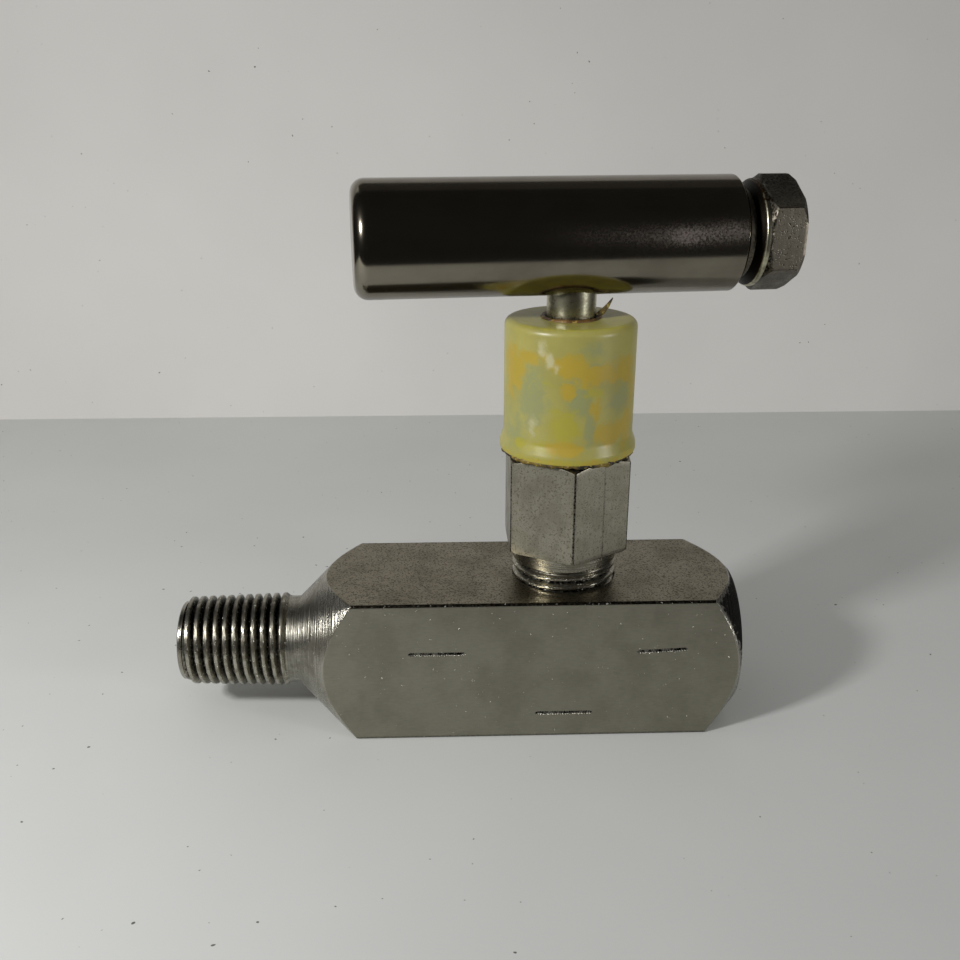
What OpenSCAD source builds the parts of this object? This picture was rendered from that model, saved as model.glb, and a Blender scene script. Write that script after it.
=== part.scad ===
// Bar-stock needle valve: a square body with a male and a female pipe end,
// a screwed-in hexagon bonnet under a plastic dust cap, a rising screw stem
// with a swivelling needle, and a T-handle made of a round bar and its bolt.
//
// Units are millimetres. The origin is on the underside of the body, on the
// stem axis. +X runs along the flow axis to the female outlet, +Z up the stem.
// The valve is drawn closed, which is the rest position of its one motion.
// Screw threads are drawn as rings of the right pitch, depth and diameter.

/* [Body] */
// Width across the flats of the square bar
bar_w = 22.225; // [21.5:0.025:26]
// Stem axis to the face of the female outlet end
outlet_len = 25.7; // [24:0.05:32]
// Stem axis to the place where the turned shoulder meets the male end
shoulder_len = 40.43; // [38:0.05:50]
// Radius of the flat ring that the end chamfer leaves on the outlet face
outlet_face_r = 10.45; // [8.5:0.05:10.8]
// Angle of that chamfer, from the outlet face
outlet_chamfer_angle = 43; // [38:0.5:52]

/* [Male pipe end] */
// Length of the male end from the shoulder to its tip
male_len = 17.8; // [15:0.1:24]
// Radius of the plain neck between the thread and the shoulder
male_neck_r = 6.6; // [6.2:0.05:7.4]
// Crest radius of the tapered pipe thread at its small end
pipe_tip_r = 6.63; // [6.3:0.01:7]
// Pitch of the pipe thread
pipe_pitch = 1.411; // [0.9:0.001:2]
// Depth of the pipe thread
pipe_thread_depth = 1; // [0.6:0.05:1.2]
// Growth of the thread's radius for each unit of its length
pipe_taper = 0.03125; // [0:0.00125:0.05]
// Radius of the plain lead-in at the tip
pipe_face_r = 5.95; // [5:0.05:6.2]
// Length of the plain lead-in at the tip
pipe_lead = 0.62; // [0.2:0.01:1.2]
// Plain neck left between the thread and the shoulder
pipe_neck_len = 1.45; // [1:0.05:3]

/* [Outlet port] */
// Radius of the tap drill of the female pipe thread
port_r = 5.556; // [4.8:0.001:6]
// Depth of the full-width port from the outlet face
port_depth = 15.4; // [12:0.1:16]
// Depth of the 45 degree countersink at the mouth of the port
port_sink = 1.5; // [0.8:0.1:2]

/* [Flow path and seat] */
// Radius of the slanting inlet bore
inlet_r = 2.38; // [1.8:0.01:2.6]
// Metal left under the inlet bore at the stem axis
floor_t = 2.8; // [2:0.1:3.5]
// Radius of the orifice that the needle closes
orifice_r = 2.38; // [1.8:0.01:2.6]
// Metal left between the inlet bore and the seat ring
seat_web = 0.55; // [0.4:0.05:1]
// Outside radius of the seat ring
seat_ring_r = 4.6; // [4.2:0.05:5]
// Height of the seat ring
seat_ring_h = 2.4; // [2:0.1:3]
// Width of the conical lip of the seat ring, measured along the radius
seat_lip = 0.62; // [0.4:0.02:0.9]
// Radius of the chamber above the seat
chamber_r = 5.25; // [5.1:0.05:5.6]
// Height of the chamber above the seat
chamber_h = 4; // [3.9:0.1:5]
// Radius of the passage from the chamber to the outlet port
passage_r = 1.85; // [1.4:0.05:1.9]

/* [Bonnet] */
// Thickness of the gasket under the bonnet
gasket_t = 0.6; // [0.4:0.05:1]
// Crest radius of the bonnet's screw thread
bonnet_thread_r = 7.75; // [7.6:0.0125:8.4]
// Pitch of the bonnet's screw thread
bonnet_pitch = 1.411; // [0.9:0.001:1.8]
// Depth of the bonnet's screw thread
bonnet_thread_depth = 0.87; // [0.5:0.01:0.95]
// Length of the shank from its lower end to the underside of the hexagon
bonnet_shank_len = 11.9; // [11:0.1:15]
// Plain neck left between the thread and the hexagon
bonnet_neck_len = 2.3; // [1.5:0.1:4]
// Width across the flats of the hexagon
hex_w = 17.15; // [16.6:0.05:20]
// Height of the hexagon
hex_h = 14.7; // [13:0.05:18]
// Angle of the hexagon, from having one corner straight to the front
hex_turn = 0.84; // [-30:0.01:30]
// Radius of the round collar above the hexagon
collar_r = 8.3; // [7.8:0.05:8.4]

/* [Dust cap] */
// Height of the dust cap
cap_h = 18.75; // [17:0.1:24]
// Wall of the dust cap
cap_wall = 0.97; // [0.7:0.01:1.6]
// Thickness of the top of the dust cap
cap_top_t = 1.2; // [0.8:0.1:2]
// How far the rim of the cap flares out
cap_flare = 0.53; // [0.2:0.01:1]
// Height of the flared rim of the cap
cap_rim_h = 1.0; // [0.5:0.1:2]
// Height over which the flare runs out above the rim
cap_taper_h = 1.5; // [0.5:0.1:3]
// Radius of the rounded top edge of the cap
cap_round = 1.0; // [0.6:0.1:1.6]
// Height of the air space between the collar and the top of the cap
cap_air = 3.0; // [1:0.1:5]

/* [Stem] */
// Radius of the stem in its thread and packing
stem_r = 3.97; // [3.8:0.01:4.1]
// Pitch of the stem's screw thread
stem_pitch = 1.0583; // [0.8:0.0001:1.4]
// Depth of the stem's screw thread
stem_thread_depth = 0.55; // [0.3:0.01:0.6]
// Turns of the handle from closed to fully open
turns_open = 3.75; // [2:0.05:4.5]
// Radius of the shoulder that back-seats in the bonnet
shoulder_r = 4.75; // [4.5:0.05:4.8]
// Height of that shoulder
shoulder_h = 4.45; // [4:0.05:5]
// Radius of the stem's top, which the handle is clamped on
stem_top_r = 3.45; // [3.2:0.01:3.6]

/* [Needle] */
// Radius of the needle above its cone
needle_r = 3.4; // [3.2:0.05:4]
// Height of the needle's cylindrical rim
needle_rim_h = 1.25; // [0.8:0.05:1.8]
// Radius of the flat end of the needle
needle_end_r = 0.8; // [0.3:0.05:1.2]
// Radius of the needle's shank, which turns in the stem
shank_r = 1.6; // [1.4:0.05:1.9]
// Length of the needle's shank
shank_len = 5.0; // [4:0.1:6]
// Height of the retaining ring that holds the needle in the stem
ring_h = 0.6; // [0.4:0.05:0.9]

/* [Packing] */
// Radius of the packing groove in the bonnet
packing_r = 5.45; // [5.2:0.01:5.8]
// Height of the backup rings above and below the o-ring
backup_h = 1.15; // [0.8:0.05:1.5]
// Metal between the underside of the hexagon and the packing groove
packing_inset = 1.0; // [0.5:0.1:3]

/* [Handle] */
// Radius of the round bar that the handle and its bolt are made from
handle_r = 7.88; // [7:0.01:9]
// Stem axis to the rounded end of the bar
handle_left_len = 29.95; // [26:0.05:40]
// Stem axis to the bolt end of the bar
handle_right_len = 22.25; // [20:0.05:34]
// Radius of the rounded end's edge
handle_round = 1.9; // [0.5:0.1:3]
// Width of the chamfer at the bolt end
handle_chamfer = 0.4; // [0.2:0.1:2.2]
// Gap between the top of the cap and the bar when the valve is closed
handle_gap = 3.19; // [1:0.01:6]
// How far the stem reaches above the axis of the bar
stem_grip = 3.0; // [2:0.1:4]
// Angle of the bar from the flow axis when the valve is closed
handle_yaw = 6.3; // [-90:0.1:90]

/* [Handle bolt] */
// Radius of the round boss under the bolt's head
boss_r = 6.1; // [5:0.05:6.6]
// Length of the boss
boss_len = 1.35; // [0.5:0.05:3]
// Width across the flats of the head
head_w = 14.2; // [13:0.05:15]
// Length of the head from the boss to its end face
head_len = 6.6; // [5:0.05:9]
// Radius that the end chamfer leaves on the head's face
head_face_r = 7.4; // [5:0.05:7.6]
// Length of that chamfer along the bolt
head_chamfer_len = 0.5; // [0.3:0.05:1.8]
// Angle of the head, from having one corner straight up
head_turn = 0.8; // [-30:0.1:30]
// Crest radius of the bolt's thread
bolt_r = 3.97; // [3.5:0.01:4.5]
// Turns of the thread's pitch that are left plain below the head
bolt_plain_turns = 4; // [2:1:8]

/* [Hidden] */
$fn = 96;

// Clearances
run_clear = 0.05;      // turning and sliding fits, on the radius
press_clear = 0.02;    // pressed and clamped fits, on the radius
thread_clear = 0.05;   // screwed fits, on the radius
seat_clear = 0.03;     // between the needle's cone and the seat, at right angles
backseat_clear = 0.3;  // left above the stem's shoulder when fully open
end_clear = 0.6;       // left above the stem's thread when fully open
cap_seat_gap = 0.25;   // between the hexagon's top and the cap's rim
edge = 0.4;            // small turned chamfers
cut = 1;               // how far cutting shapes run past a face

// Shapes of tools
seat_half_angle = 30;      // of the needle's cone and of the seat's lip
drill_half_angle = 59;
hex_chamfer_angle = 30;
// One thread tooth as [depth share, pitch share] from root to root
thread_tooth = [[1, 0.06], [0, 0.4], [0, 0.6], [1, 0.94]];

// Body
flow_z = bar_w / 2;
corner_r = bar_w / sqrt(2);
turned_r = corner_r + cut;
tip_x = -(shoulder_len + male_len);
inlet_low_z = floor_t + inlet_r;
inlet_angle = atan((flow_z - inlet_low_z) / -tip_x);
port_x = outlet_len - port_depth;
pipe_thread_len = male_len - pipe_lead - pipe_neck_len;
pipe_turns = floor(pipe_thread_len / pipe_pitch);

// Heights, one seated on the other
seat_pocket_z = inlet_low_z + (seat_ring_r + press_clear) * tan(inlet_angle)
                + inlet_r / cos(inlet_angle) + seat_web;
seat_top_z = seat_pocket_z + seat_ring_h;
seat_mouth_r = orifice_r + seat_lip;
shelf_z = seat_top_z + chamber_h;
bonnet_z = shelf_z + gasket_t;
hex_z = bonnet_z + bonnet_shank_len;
hex_top_z = hex_z + hex_h;
hex_corner_r = corner_radius(hex_w);
cap_z = hex_top_z + cap_seat_gap;
cap_top_z = cap_z + cap_h;
cap_ceiling_z = cap_top_z - cap_top_t;
cap_in_r = collar_r + press_clear;
cap_r = cap_in_r + cap_wall;
collar_top_z = cap_ceiling_z - cap_air;
handle_z = cap_top_z + handle_gap + handle_r;

// Needle and stem
lift = turns_open * stem_pitch;
needle_z = seat_top_z + (needle_r - seat_mouth_r + seat_clear / cos(seat_half_angle))
           / tan(seat_half_angle);
needle_end_z = needle_z - (needle_r - needle_end_r) / tan(seat_half_angle);
needle_top_z = needle_z + needle_rim_h;
stem_z = needle_top_z + run_clear;
shoulder_top_z = stem_z + shoulder_h;
backseat_z = shoulder_top_z + shoulder_r + lift + backseat_clear - (shoulder_r + edge);
socket_r = shank_r + run_clear;
ring_z = stem_z + shank_len / 2;
ring_in_r = shank_r - edge + run_clear;
ring_out_r = shank_r + edge;
stem_bore_r = stem_r + run_clear;
o_ring_d = packing_r - stem_r - 2 * press_clear;
packing_z = hex_z + packing_inset;
packing_h = 2 * backup_h + o_ring_d + 4 * press_clear;
stem_thread_top_z = cap_ceiling_z - lift - end_clear;
stem_turns = floor((stem_thread_top_z - packing_z - packing_h - lift) / stem_pitch);
stem_thread_z = stem_thread_top_z - stem_turns * stem_pitch;
stem_top_z = handle_z + stem_grip;

// Bonnet thread, from just above the bonnet's lower end to its plain neck
bonnet_turns = floor((bonnet_shank_len - bonnet_neck_len - edge) / bonnet_pitch);
bonnet_thread_top_z = hex_z - bonnet_neck_len;
bonnet_root_r = bonnet_thread_r - bonnet_thread_depth;

// Handle bolt
bolt_tip = stem_top_r + run_clear;
bolt_turns = floor((handle_right_len - bolt_tip) / stem_pitch) - bolt_plain_turns;
head_start = handle_right_len + boss_len;
head_end = head_start + head_len;

// Radius over the corners of a hexagon
function corner_radius(across_flats) = across_flats / sqrt(3);

// Rings of a screw thread as [radius, height] points, growing by taper
function thread_rings(start, crest_r, pitch, depth, turns, taper = 0) =
    [for (turn = [0 : turns - 1], tooth = thread_tooth)
        let (rise = (turn + tooth[1]) * pitch)
        [crest_r + rise * taper - tooth[0] * depth, start + rise]];

// A drilled hole along +Z from the origin, with the drill's cone at its end
module drilled_hole(r, depth) {
    rotate_extrude()
        polygon([[0, -cut], [r, -cut], [r, depth],
                 [0, depth + r / tan(drill_half_angle)]]);
}

// Places what is drawn along +Z on the flow axis, pointing to +X
module on_flow_axis() {
    translate([0, 0, flow_z]) rotate([0, 90, 0]) children();
}

// Places what is drawn along +Z on the axis of the handle
module on_handle_axis() {
    translate([0, 0, handle_z]) rotate([0, 0, handle_yaw]) rotate([0, 90, 0]) children();
}

// A plain ring round the stem axis
module ring(in_r, out_r, z, h) {
    rotate_extrude() translate([in_r, z]) square([out_r - in_r, h]);
}

// Square bar with its turned shoulder and turned end chamfer
module bar_block() {
    chamfer_len = (turned_r - outlet_face_r) * tan(outlet_chamfer_angle);
    intersection() {
        translate([-shoulder_len, -bar_w / 2, 0])
            cube([shoulder_len + outlet_len, bar_w, bar_w]);
        on_flow_axis() rotate_extrude() polygon([
            [0, -shoulder_len],
            [male_neck_r, -shoulder_len],
            [turned_r, -shoulder_len + turned_r - male_neck_r],
            [turned_r, outlet_len - chamfer_len],
            [outlet_face_r, outlet_len],
            [0, outlet_len]]);
    }
}

// Male end with its tapered pipe thread
module male_end() {
    root_r = pipe_tip_r - pipe_thread_depth;
    on_flow_axis() rotate_extrude() polygon(concat(
        [[0, tip_x], [pipe_face_r, tip_x], [pipe_face_r, tip_x + pipe_lead]],
        thread_rings(tip_x + pipe_lead, pipe_tip_r, pipe_pitch, pipe_thread_depth,
                     pipe_turns, pipe_taper),
        [[male_neck_r, -shoulder_len - pipe_neck_len],
         [male_neck_r, -shoulder_len + cut],
         [0, -shoulder_len + cut]]));
}

// Everything drilled, bored and tapped out of the body
module flow_path() {
    translate([tip_x, 0, flow_z]) rotate([0, 90 + inlet_angle, 0])
        drilled_hole(inlet_r, -tip_x / cos(inlet_angle));
    translate([0, 0, inlet_low_z]) cylinder(h = seat_top_z - inlet_low_z, r = orifice_r);
    translate([0, 0, seat_pocket_z])
        cylinder(h = seat_ring_h + cut, r = seat_ring_r + press_clear);
    translate([0, 0, seat_top_z]) cylinder(h = chamber_h + cut, r = chamber_r);
    translate([0, 0, shelf_z])
        cylinder(h = bar_w - shelf_z + cut, r = bonnet_thread_r + thread_clear);
    translate([0, 0, seat_top_z + chamber_h / 2]) rotate([0, 90, 0])
        cylinder(h = port_x + cut, r = passage_r);
    translate([outlet_len, 0, flow_z]) rotate([0, -90, 0]) drilled_hole(port_r, port_depth);
    on_flow_axis() rotate_extrude() polygon([
        [0, outlet_len - port_sink], [port_r, outlet_len - port_sink],
        [port_r + port_sink + cut, outlet_len + cut], [0, outlet_len + cut]]);
}

module body() {
    color([0.50, 0.47, 0.42]) difference() {
        union() {
            bar_block();
            male_end();
        }
        flow_path();
    }
}

// Hard ring pressed in the floor of the chamber, with a conical lip
module seat_ring() {
    color([0.72, 0.72, 0.72]) rotate_extrude() polygon([
        [orifice_r, seat_pocket_z],
        [seat_ring_r, seat_pocket_z],
        [seat_ring_r, seat_top_z],
        [seat_mouth_r, seat_top_z],
        [orifice_r, seat_top_z - seat_lip / tan(seat_half_angle)]]);
}

module bonnet_gasket() {
    color([0.75, 0.45, 0.25])
        ring(chamber_r + run_clear, bonnet_root_r, shelf_z, gasket_t);
}

// Threaded shank and neck of the bonnet
module bonnet_shank() {
    rotate_extrude() polygon(concat(
        [[0, bonnet_z], [bonnet_root_r, bonnet_z]],
        thread_rings(bonnet_thread_top_z - bonnet_turns * bonnet_pitch, bonnet_thread_r,
                     bonnet_pitch, bonnet_thread_depth, bonnet_turns),
        [[bonnet_thread_r, bonnet_thread_top_z + edge],
         [bonnet_thread_r, hex_z + cut],
         [0, hex_z + cut]]));
}

// Hexagon with its corners turned off above and just broken below
module bonnet_hexagon() {
    slope = tan(hex_chamfer_angle);
    intersection() {
        translate([0, 0, hex_z]) rotate([0, 0, hex_turn - 90])
            cylinder(h = hex_h, r = hex_corner_r, $fn = 6);
        rotate_extrude() polygon([
            [0, hex_z],
            [hex_corner_r - edge, hex_z],
            [hex_corner_r + cut, hex_z + (edge + cut) * slope],
            [hex_corner_r + cut, hex_top_z - (hex_corner_r + cut - collar_r) * slope],
            [collar_r, hex_top_z],
            [0, hex_top_z]]);
    }
}

// Round collar that carries the stem's nut thread and the dust cap
module bonnet_collar() {
    rotate_extrude() polygon([
        [0, hex_top_z - cut],
        [collar_r, hex_top_z - cut],
        [collar_r, collar_top_z - edge],
        [collar_r - edge, collar_top_z],
        [0, collar_top_z]]);
}

// Stem bore with its back seat below and its packing groove
module bonnet_bore() {
    lower_r = shoulder_r + edge;
    rotate_extrude() polygon([
        [0, bonnet_z - cut],
        [lower_r, bonnet_z - cut],
        [lower_r, backseat_z],
        [stem_bore_r, backseat_z + lower_r - stem_bore_r],
        [stem_bore_r, packing_z],
        [packing_r, packing_z],
        [packing_r, packing_z + packing_h],
        [stem_bore_r, packing_z + packing_h],
        [stem_bore_r, collar_top_z - edge],
        [stem_bore_r + edge + cut, collar_top_z + cut],
        [0, collar_top_z + cut]]);
}

module bonnet() {
    color([0.58, 0.56, 0.50]) difference() {
        union() {
            bonnet_shank();
            bonnet_hexagon();
            bonnet_collar();
        }
        bonnet_bore();
    }
}

// A backup ring that fills the packing groove from wall to stem
module backup_ring(z) {
    color([0.93, 0.93, 0.90])
        ring(stem_r + press_clear, packing_r - press_clear, z, backup_h);
}

module lower_backup_ring() {
    backup_ring(packing_z + press_clear);
}

module stem_o_ring() {
    color([0.08, 0.08, 0.08]) rotate_extrude()
        translate([stem_r + press_clear + o_ring_d / 2,
                   packing_z + 2 * press_clear + backup_h + o_ring_d / 2])
            circle(d = o_ring_d);
}

module upper_backup_ring() {
    backup_ring(packing_z + packing_h - press_clear - backup_h);
}

// Moulded cap pressed over the collar, open round the stem at its top
module dust_cap() {
    color([0.80, 0.78, 0.38]) difference() {
        rotate_extrude() {
            polygon([
                [0, cap_z],
                [cap_r + cap_flare, cap_z],
                [cap_r + cap_flare, cap_z + cap_rim_h],
                [cap_r, cap_z + cap_rim_h + cap_taper_h],
                [cap_r, cap_top_z - cap_round],
                [0, cap_top_z - cap_round]]);
            translate([0, cap_top_z - 2 * cap_round])
                square([cap_r - cap_round, 2 * cap_round]);
            translate([cap_r - cap_round, cap_top_z - cap_round]) circle(cap_round);
        }
        translate([0, 0, cap_z - cut])
            cylinder(h = cap_ceiling_z - cap_z + cut, r = cap_in_r);
        translate([0, 0, cap_ceiling_z - cut])
            cylinder(h = cap_top_t + 2 * cut, r = stem_top_r + run_clear);
    }
}

// Cone that closes the orifice, with a grooved shank that turns in the stem
module needle_tip() {
    groove_r = shank_r - edge;
    groove_z = ring_z - 3 * run_clear;
    groove_top_z = ring_z + ring_h + 3 * run_clear;
    color([0.80, 0.80, 0.82]) rotate_extrude() polygon([
        [0, needle_end_z],
        [needle_end_r, needle_end_z],
        [needle_r, needle_z],
        [needle_r, needle_top_z],
        [shank_r, needle_top_z],
        [shank_r, groove_z],
        [groove_r, groove_z],
        [groove_r, groove_top_z],
        [shank_r, groove_top_z],
        [shank_r, needle_top_z + shank_len - edge],
        [shank_r - edge, needle_top_z + shank_len],
        [0, needle_top_z + shank_len]]);
}

module tip_retaining_ring() {
    color([0.55, 0.55, 0.58]) ring(ring_in_r, ring_out_r, ring_z, ring_h);
}

module stem() {
    socket_top_z = needle_top_z + shank_len + 4 * run_clear;
    groove_r = ring_out_r + run_clear;
    color([0.45, 0.44, 0.42]) difference() {
        rotate_extrude() polygon(concat(
            [[0, stem_z],
             [shoulder_r - edge, stem_z],
             [shoulder_r, stem_z + edge],
             [shoulder_r, shoulder_top_z],
             [stem_r, shoulder_top_z + shoulder_r - stem_r],
             [stem_r, stem_thread_z - stem_thread_depth]],
            thread_rings(stem_thread_z, stem_r, stem_pitch, stem_thread_depth, stem_turns),
            [[stem_top_r, stem_thread_top_z],
             [stem_top_r, stem_top_z - edge],
             [stem_top_r - edge, stem_top_z],
             [0, stem_top_z]]));
        rotate_extrude() polygon([
            [0, stem_z - cut],
            [socket_r, stem_z - cut],
            [socket_r, ring_z - run_clear],
            [groove_r, ring_z - run_clear],
            [groove_r, ring_z + ring_h + run_clear],
            [socket_r, ring_z + ring_h + run_clear],
            [socket_r, socket_top_z],
            [0, socket_top_z]]);
    }
}

// Round bar with a rounded end, a chamfered end, a bolt hole and a stem hole
module handle_bar() {
    color([0.30, 0.29, 0.29]) difference() {
        on_handle_axis() rotate_extrude() {
            polygon([
                [0, handle_round - handle_left_len],
                [handle_r, handle_round - handle_left_len],
                [handle_r, handle_right_len - handle_chamfer],
                [handle_r - handle_chamfer, handle_right_len],
                [0, handle_right_len]]);
            translate([0, -handle_left_len])
                square([handle_r - handle_round, 2 * handle_round]);
            translate([handle_r - handle_round, handle_round - handle_left_len])
                circle(handle_round);
        }
        on_handle_axis() cylinder(h = handle_right_len + cut, r = bolt_r + press_clear);
        translate([0, 0, handle_z - handle_r - cut])
            cylinder(h = handle_r + cut + stem_grip + run_clear, r = stem_top_r + press_clear);
    }
}

// Bolt whose threaded shank clamps the stem in the bar
module handle_bolt() {
    thread_start = bolt_tip + 2 * edge;
    color([0.36, 0.34, 0.32]) on_handle_axis() {
        intersection() {
            translate([0, 0, head_start]) rotate([0, 0, head_turn])
                cylinder(h = head_len, r = corner_radius(head_w), $fn = 6);
            rotate_extrude() polygon([
                [0, head_start],
                [boss_r, head_start],
                [handle_r, head_start + handle_r - boss_r],
                [handle_r, head_end - head_chamfer_len],
                [head_face_r, head_end],
                [0, head_end]]);
        }
        rotate_extrude() polygon(concat(
            [[0, bolt_tip],
             [bolt_r - stem_thread_depth - edge, bolt_tip],
             [bolt_r - stem_thread_depth, bolt_tip + edge]],
            thread_rings(thread_start, bolt_r, stem_pitch, stem_thread_depth, bolt_turns),
            [[bolt_r, thread_start + (bolt_turns + 1) * stem_pitch],
             [bolt_r, handle_right_len],
             [boss_r, handle_right_len],
             [boss_r, head_start + press_clear],
             [0, head_start + press_clear]]));
    }
}

body();
seat_ring();
bonnet_gasket();
bonnet();
lower_backup_ring();
stem_o_ring();
upper_backup_ring();
dust_cap();
needle_tip();
tip_retaining_ring();
stem();
handle_bar();
handle_bolt();
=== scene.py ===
"""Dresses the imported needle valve: helical threads, machined steel and an aged plastic cap.

Every piece is a surface worked out with numpy on a grid of rows along an axis
and columns round it. All lengths in the dataclasses are millimetres, and
meshes are written in metres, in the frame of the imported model.
"""

import logging  # noqa: E402
import math  # noqa: E402
from dataclasses import dataclass, field  # noqa: E402
from enum import Enum  # noqa: E402

import bmesh  # noqa: E402
import bpy  # noqa: E402
import numpy as np  # noqa: E402
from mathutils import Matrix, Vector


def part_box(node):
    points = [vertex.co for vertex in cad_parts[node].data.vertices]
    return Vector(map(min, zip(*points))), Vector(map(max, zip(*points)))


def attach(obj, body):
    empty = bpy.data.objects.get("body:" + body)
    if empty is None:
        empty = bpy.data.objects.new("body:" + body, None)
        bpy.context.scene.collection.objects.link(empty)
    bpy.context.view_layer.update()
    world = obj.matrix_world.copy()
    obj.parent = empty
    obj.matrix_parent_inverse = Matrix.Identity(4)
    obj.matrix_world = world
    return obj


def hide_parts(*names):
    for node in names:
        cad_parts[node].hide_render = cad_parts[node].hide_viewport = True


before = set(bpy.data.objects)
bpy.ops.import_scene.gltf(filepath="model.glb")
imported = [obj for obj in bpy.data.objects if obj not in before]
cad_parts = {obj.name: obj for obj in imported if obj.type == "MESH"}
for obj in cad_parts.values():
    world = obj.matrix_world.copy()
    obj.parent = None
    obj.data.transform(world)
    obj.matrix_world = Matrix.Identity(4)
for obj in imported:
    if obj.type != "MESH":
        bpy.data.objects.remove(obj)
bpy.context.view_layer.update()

MM = 0.001
TURN = 2 * math.pi
CORNER_REACH = math.radians(1.4)  # a flat's edge is drawn within this angle of its corner
LEAST_SIDE = 2.2  # a rounded corner takes at most its side's length over this
LOG = logging.getLogger("needle_valve")


# ---------------------------------------------------------------- node trees


def linear(hex_colour: str) -> tuple[float, float, float, float]:
    """Turns an sRGB hex colour into linear RGBA.

    Args:
        hex_colour: Six hex digits after a hash.

    Returns:
        Linear red, green, blue and an alpha of 1.
    """
    srgb = np.array([int(hex_colour[i : i + 2], 16) for i in (1, 3, 5)]) / 255
    rgb = np.where(srgb <= 0.04045, srgb / 12.92, ((srgb + 0.055) / 1.055) ** 2.4)
    return (*rgb.tolist(), 1.0)


def add(
    tree: bpy.types.NodeTree,
    kind: str,
    inputs: dict | tuple,
    out: int | str = 0,
    **settings: object,
) -> bpy.types.NodeSocket | None:
    """Adds a shader node with its settings and links.

    Args:
        tree: The node tree.
        kind: The node's type name without the ShaderNode before it.
        inputs: Values, or the sockets that feed it, by name or number, or in order from the first.
        out: Name or number of the output that is wanted.
        **settings: Attributes of the node.

    Returns:
        That output, or None for a node without outputs.
    """
    made = tree.nodes.new("ShaderNode" + kind)
    for name, value in settings.items():
        setattr(made, name, value)
    for key, value in inputs.items() if isinstance(inputs, dict) else enumerate(inputs):
        if isinstance(value, bpy.types.NodeSocket):
            tree.links.new(value, made.inputs[key])
        else:
            made.inputs[key].default_value = value
    return made.outputs[out] if made.outputs else None


# Settings of a Mix node that blends colours: input 0 is the share of 7 over 6, output 2 the result
TINT = {"out": 2, "data_type": "RGBA"}
MULTIPLY = {**TINT, "blend_type": "MULTIPLY"}
SMOOTH = {"interpolation_type": "SMOOTHSTEP"}


def cells(place: bpy.types.NodeSocket, size: float, detail: float, rough: float = 0.5) -> dict[str, object]:
    """Inputs of a noise whose cells have a real size.

    Args:
        place: The coordinates that it lies on, in metres.
        size: Size of a cell in millimetres.
        detail: How many finer layers are added.
        rough: How strong those layers are.

    Returns:
        The inputs by name.
    """
    return {"Vector": place, "Scale": 1 / (size * MM), "Detail": detail, "Roughness": rough}


def blank_material(name: str) -> tuple[bpy.types.Material, bpy.types.NodeTree]:
    """Makes a material with an empty node tree.

    Args:
        name: The material's name.

    Returns:
        The material and its tree.
    """
    material = bpy.data.materials.new(name)
    material.use_nodes = True
    material.node_tree.nodes.clear()
    return material, material.node_tree


# ------------------------------------------------------------------ finishes


@dataclass(frozen=True)
class Surface:
    """A finish, painted by nodes on the piece's own Object coordinates.

    Attributes:
        name: What the finish is called in a workshop.
    """

    name: str

    def material(self) -> bpy.types.Material:
        """Builds the material.

        Returns:
            The material.
        """
        material, tree = blank_material(self.name)
        place = add(tree, "TexCoord", {}, "Object")
        shader = add(tree, "BsdfPrincipled", self.paint(tree, place))
        add(tree, "OutputMaterial", {"Surface": shader})
        return material

    def paint(self, tree: bpy.types.NodeTree, place: bpy.types.NodeSocket) -> dict[str, object]:
        """Adds the nodes of one kind of finish.

        Args:
            tree: The node tree.
            place: The piece's Object coordinates.

        Returns:
            Inputs of the shader by name.
        """
        raise NotImplementedError


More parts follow.
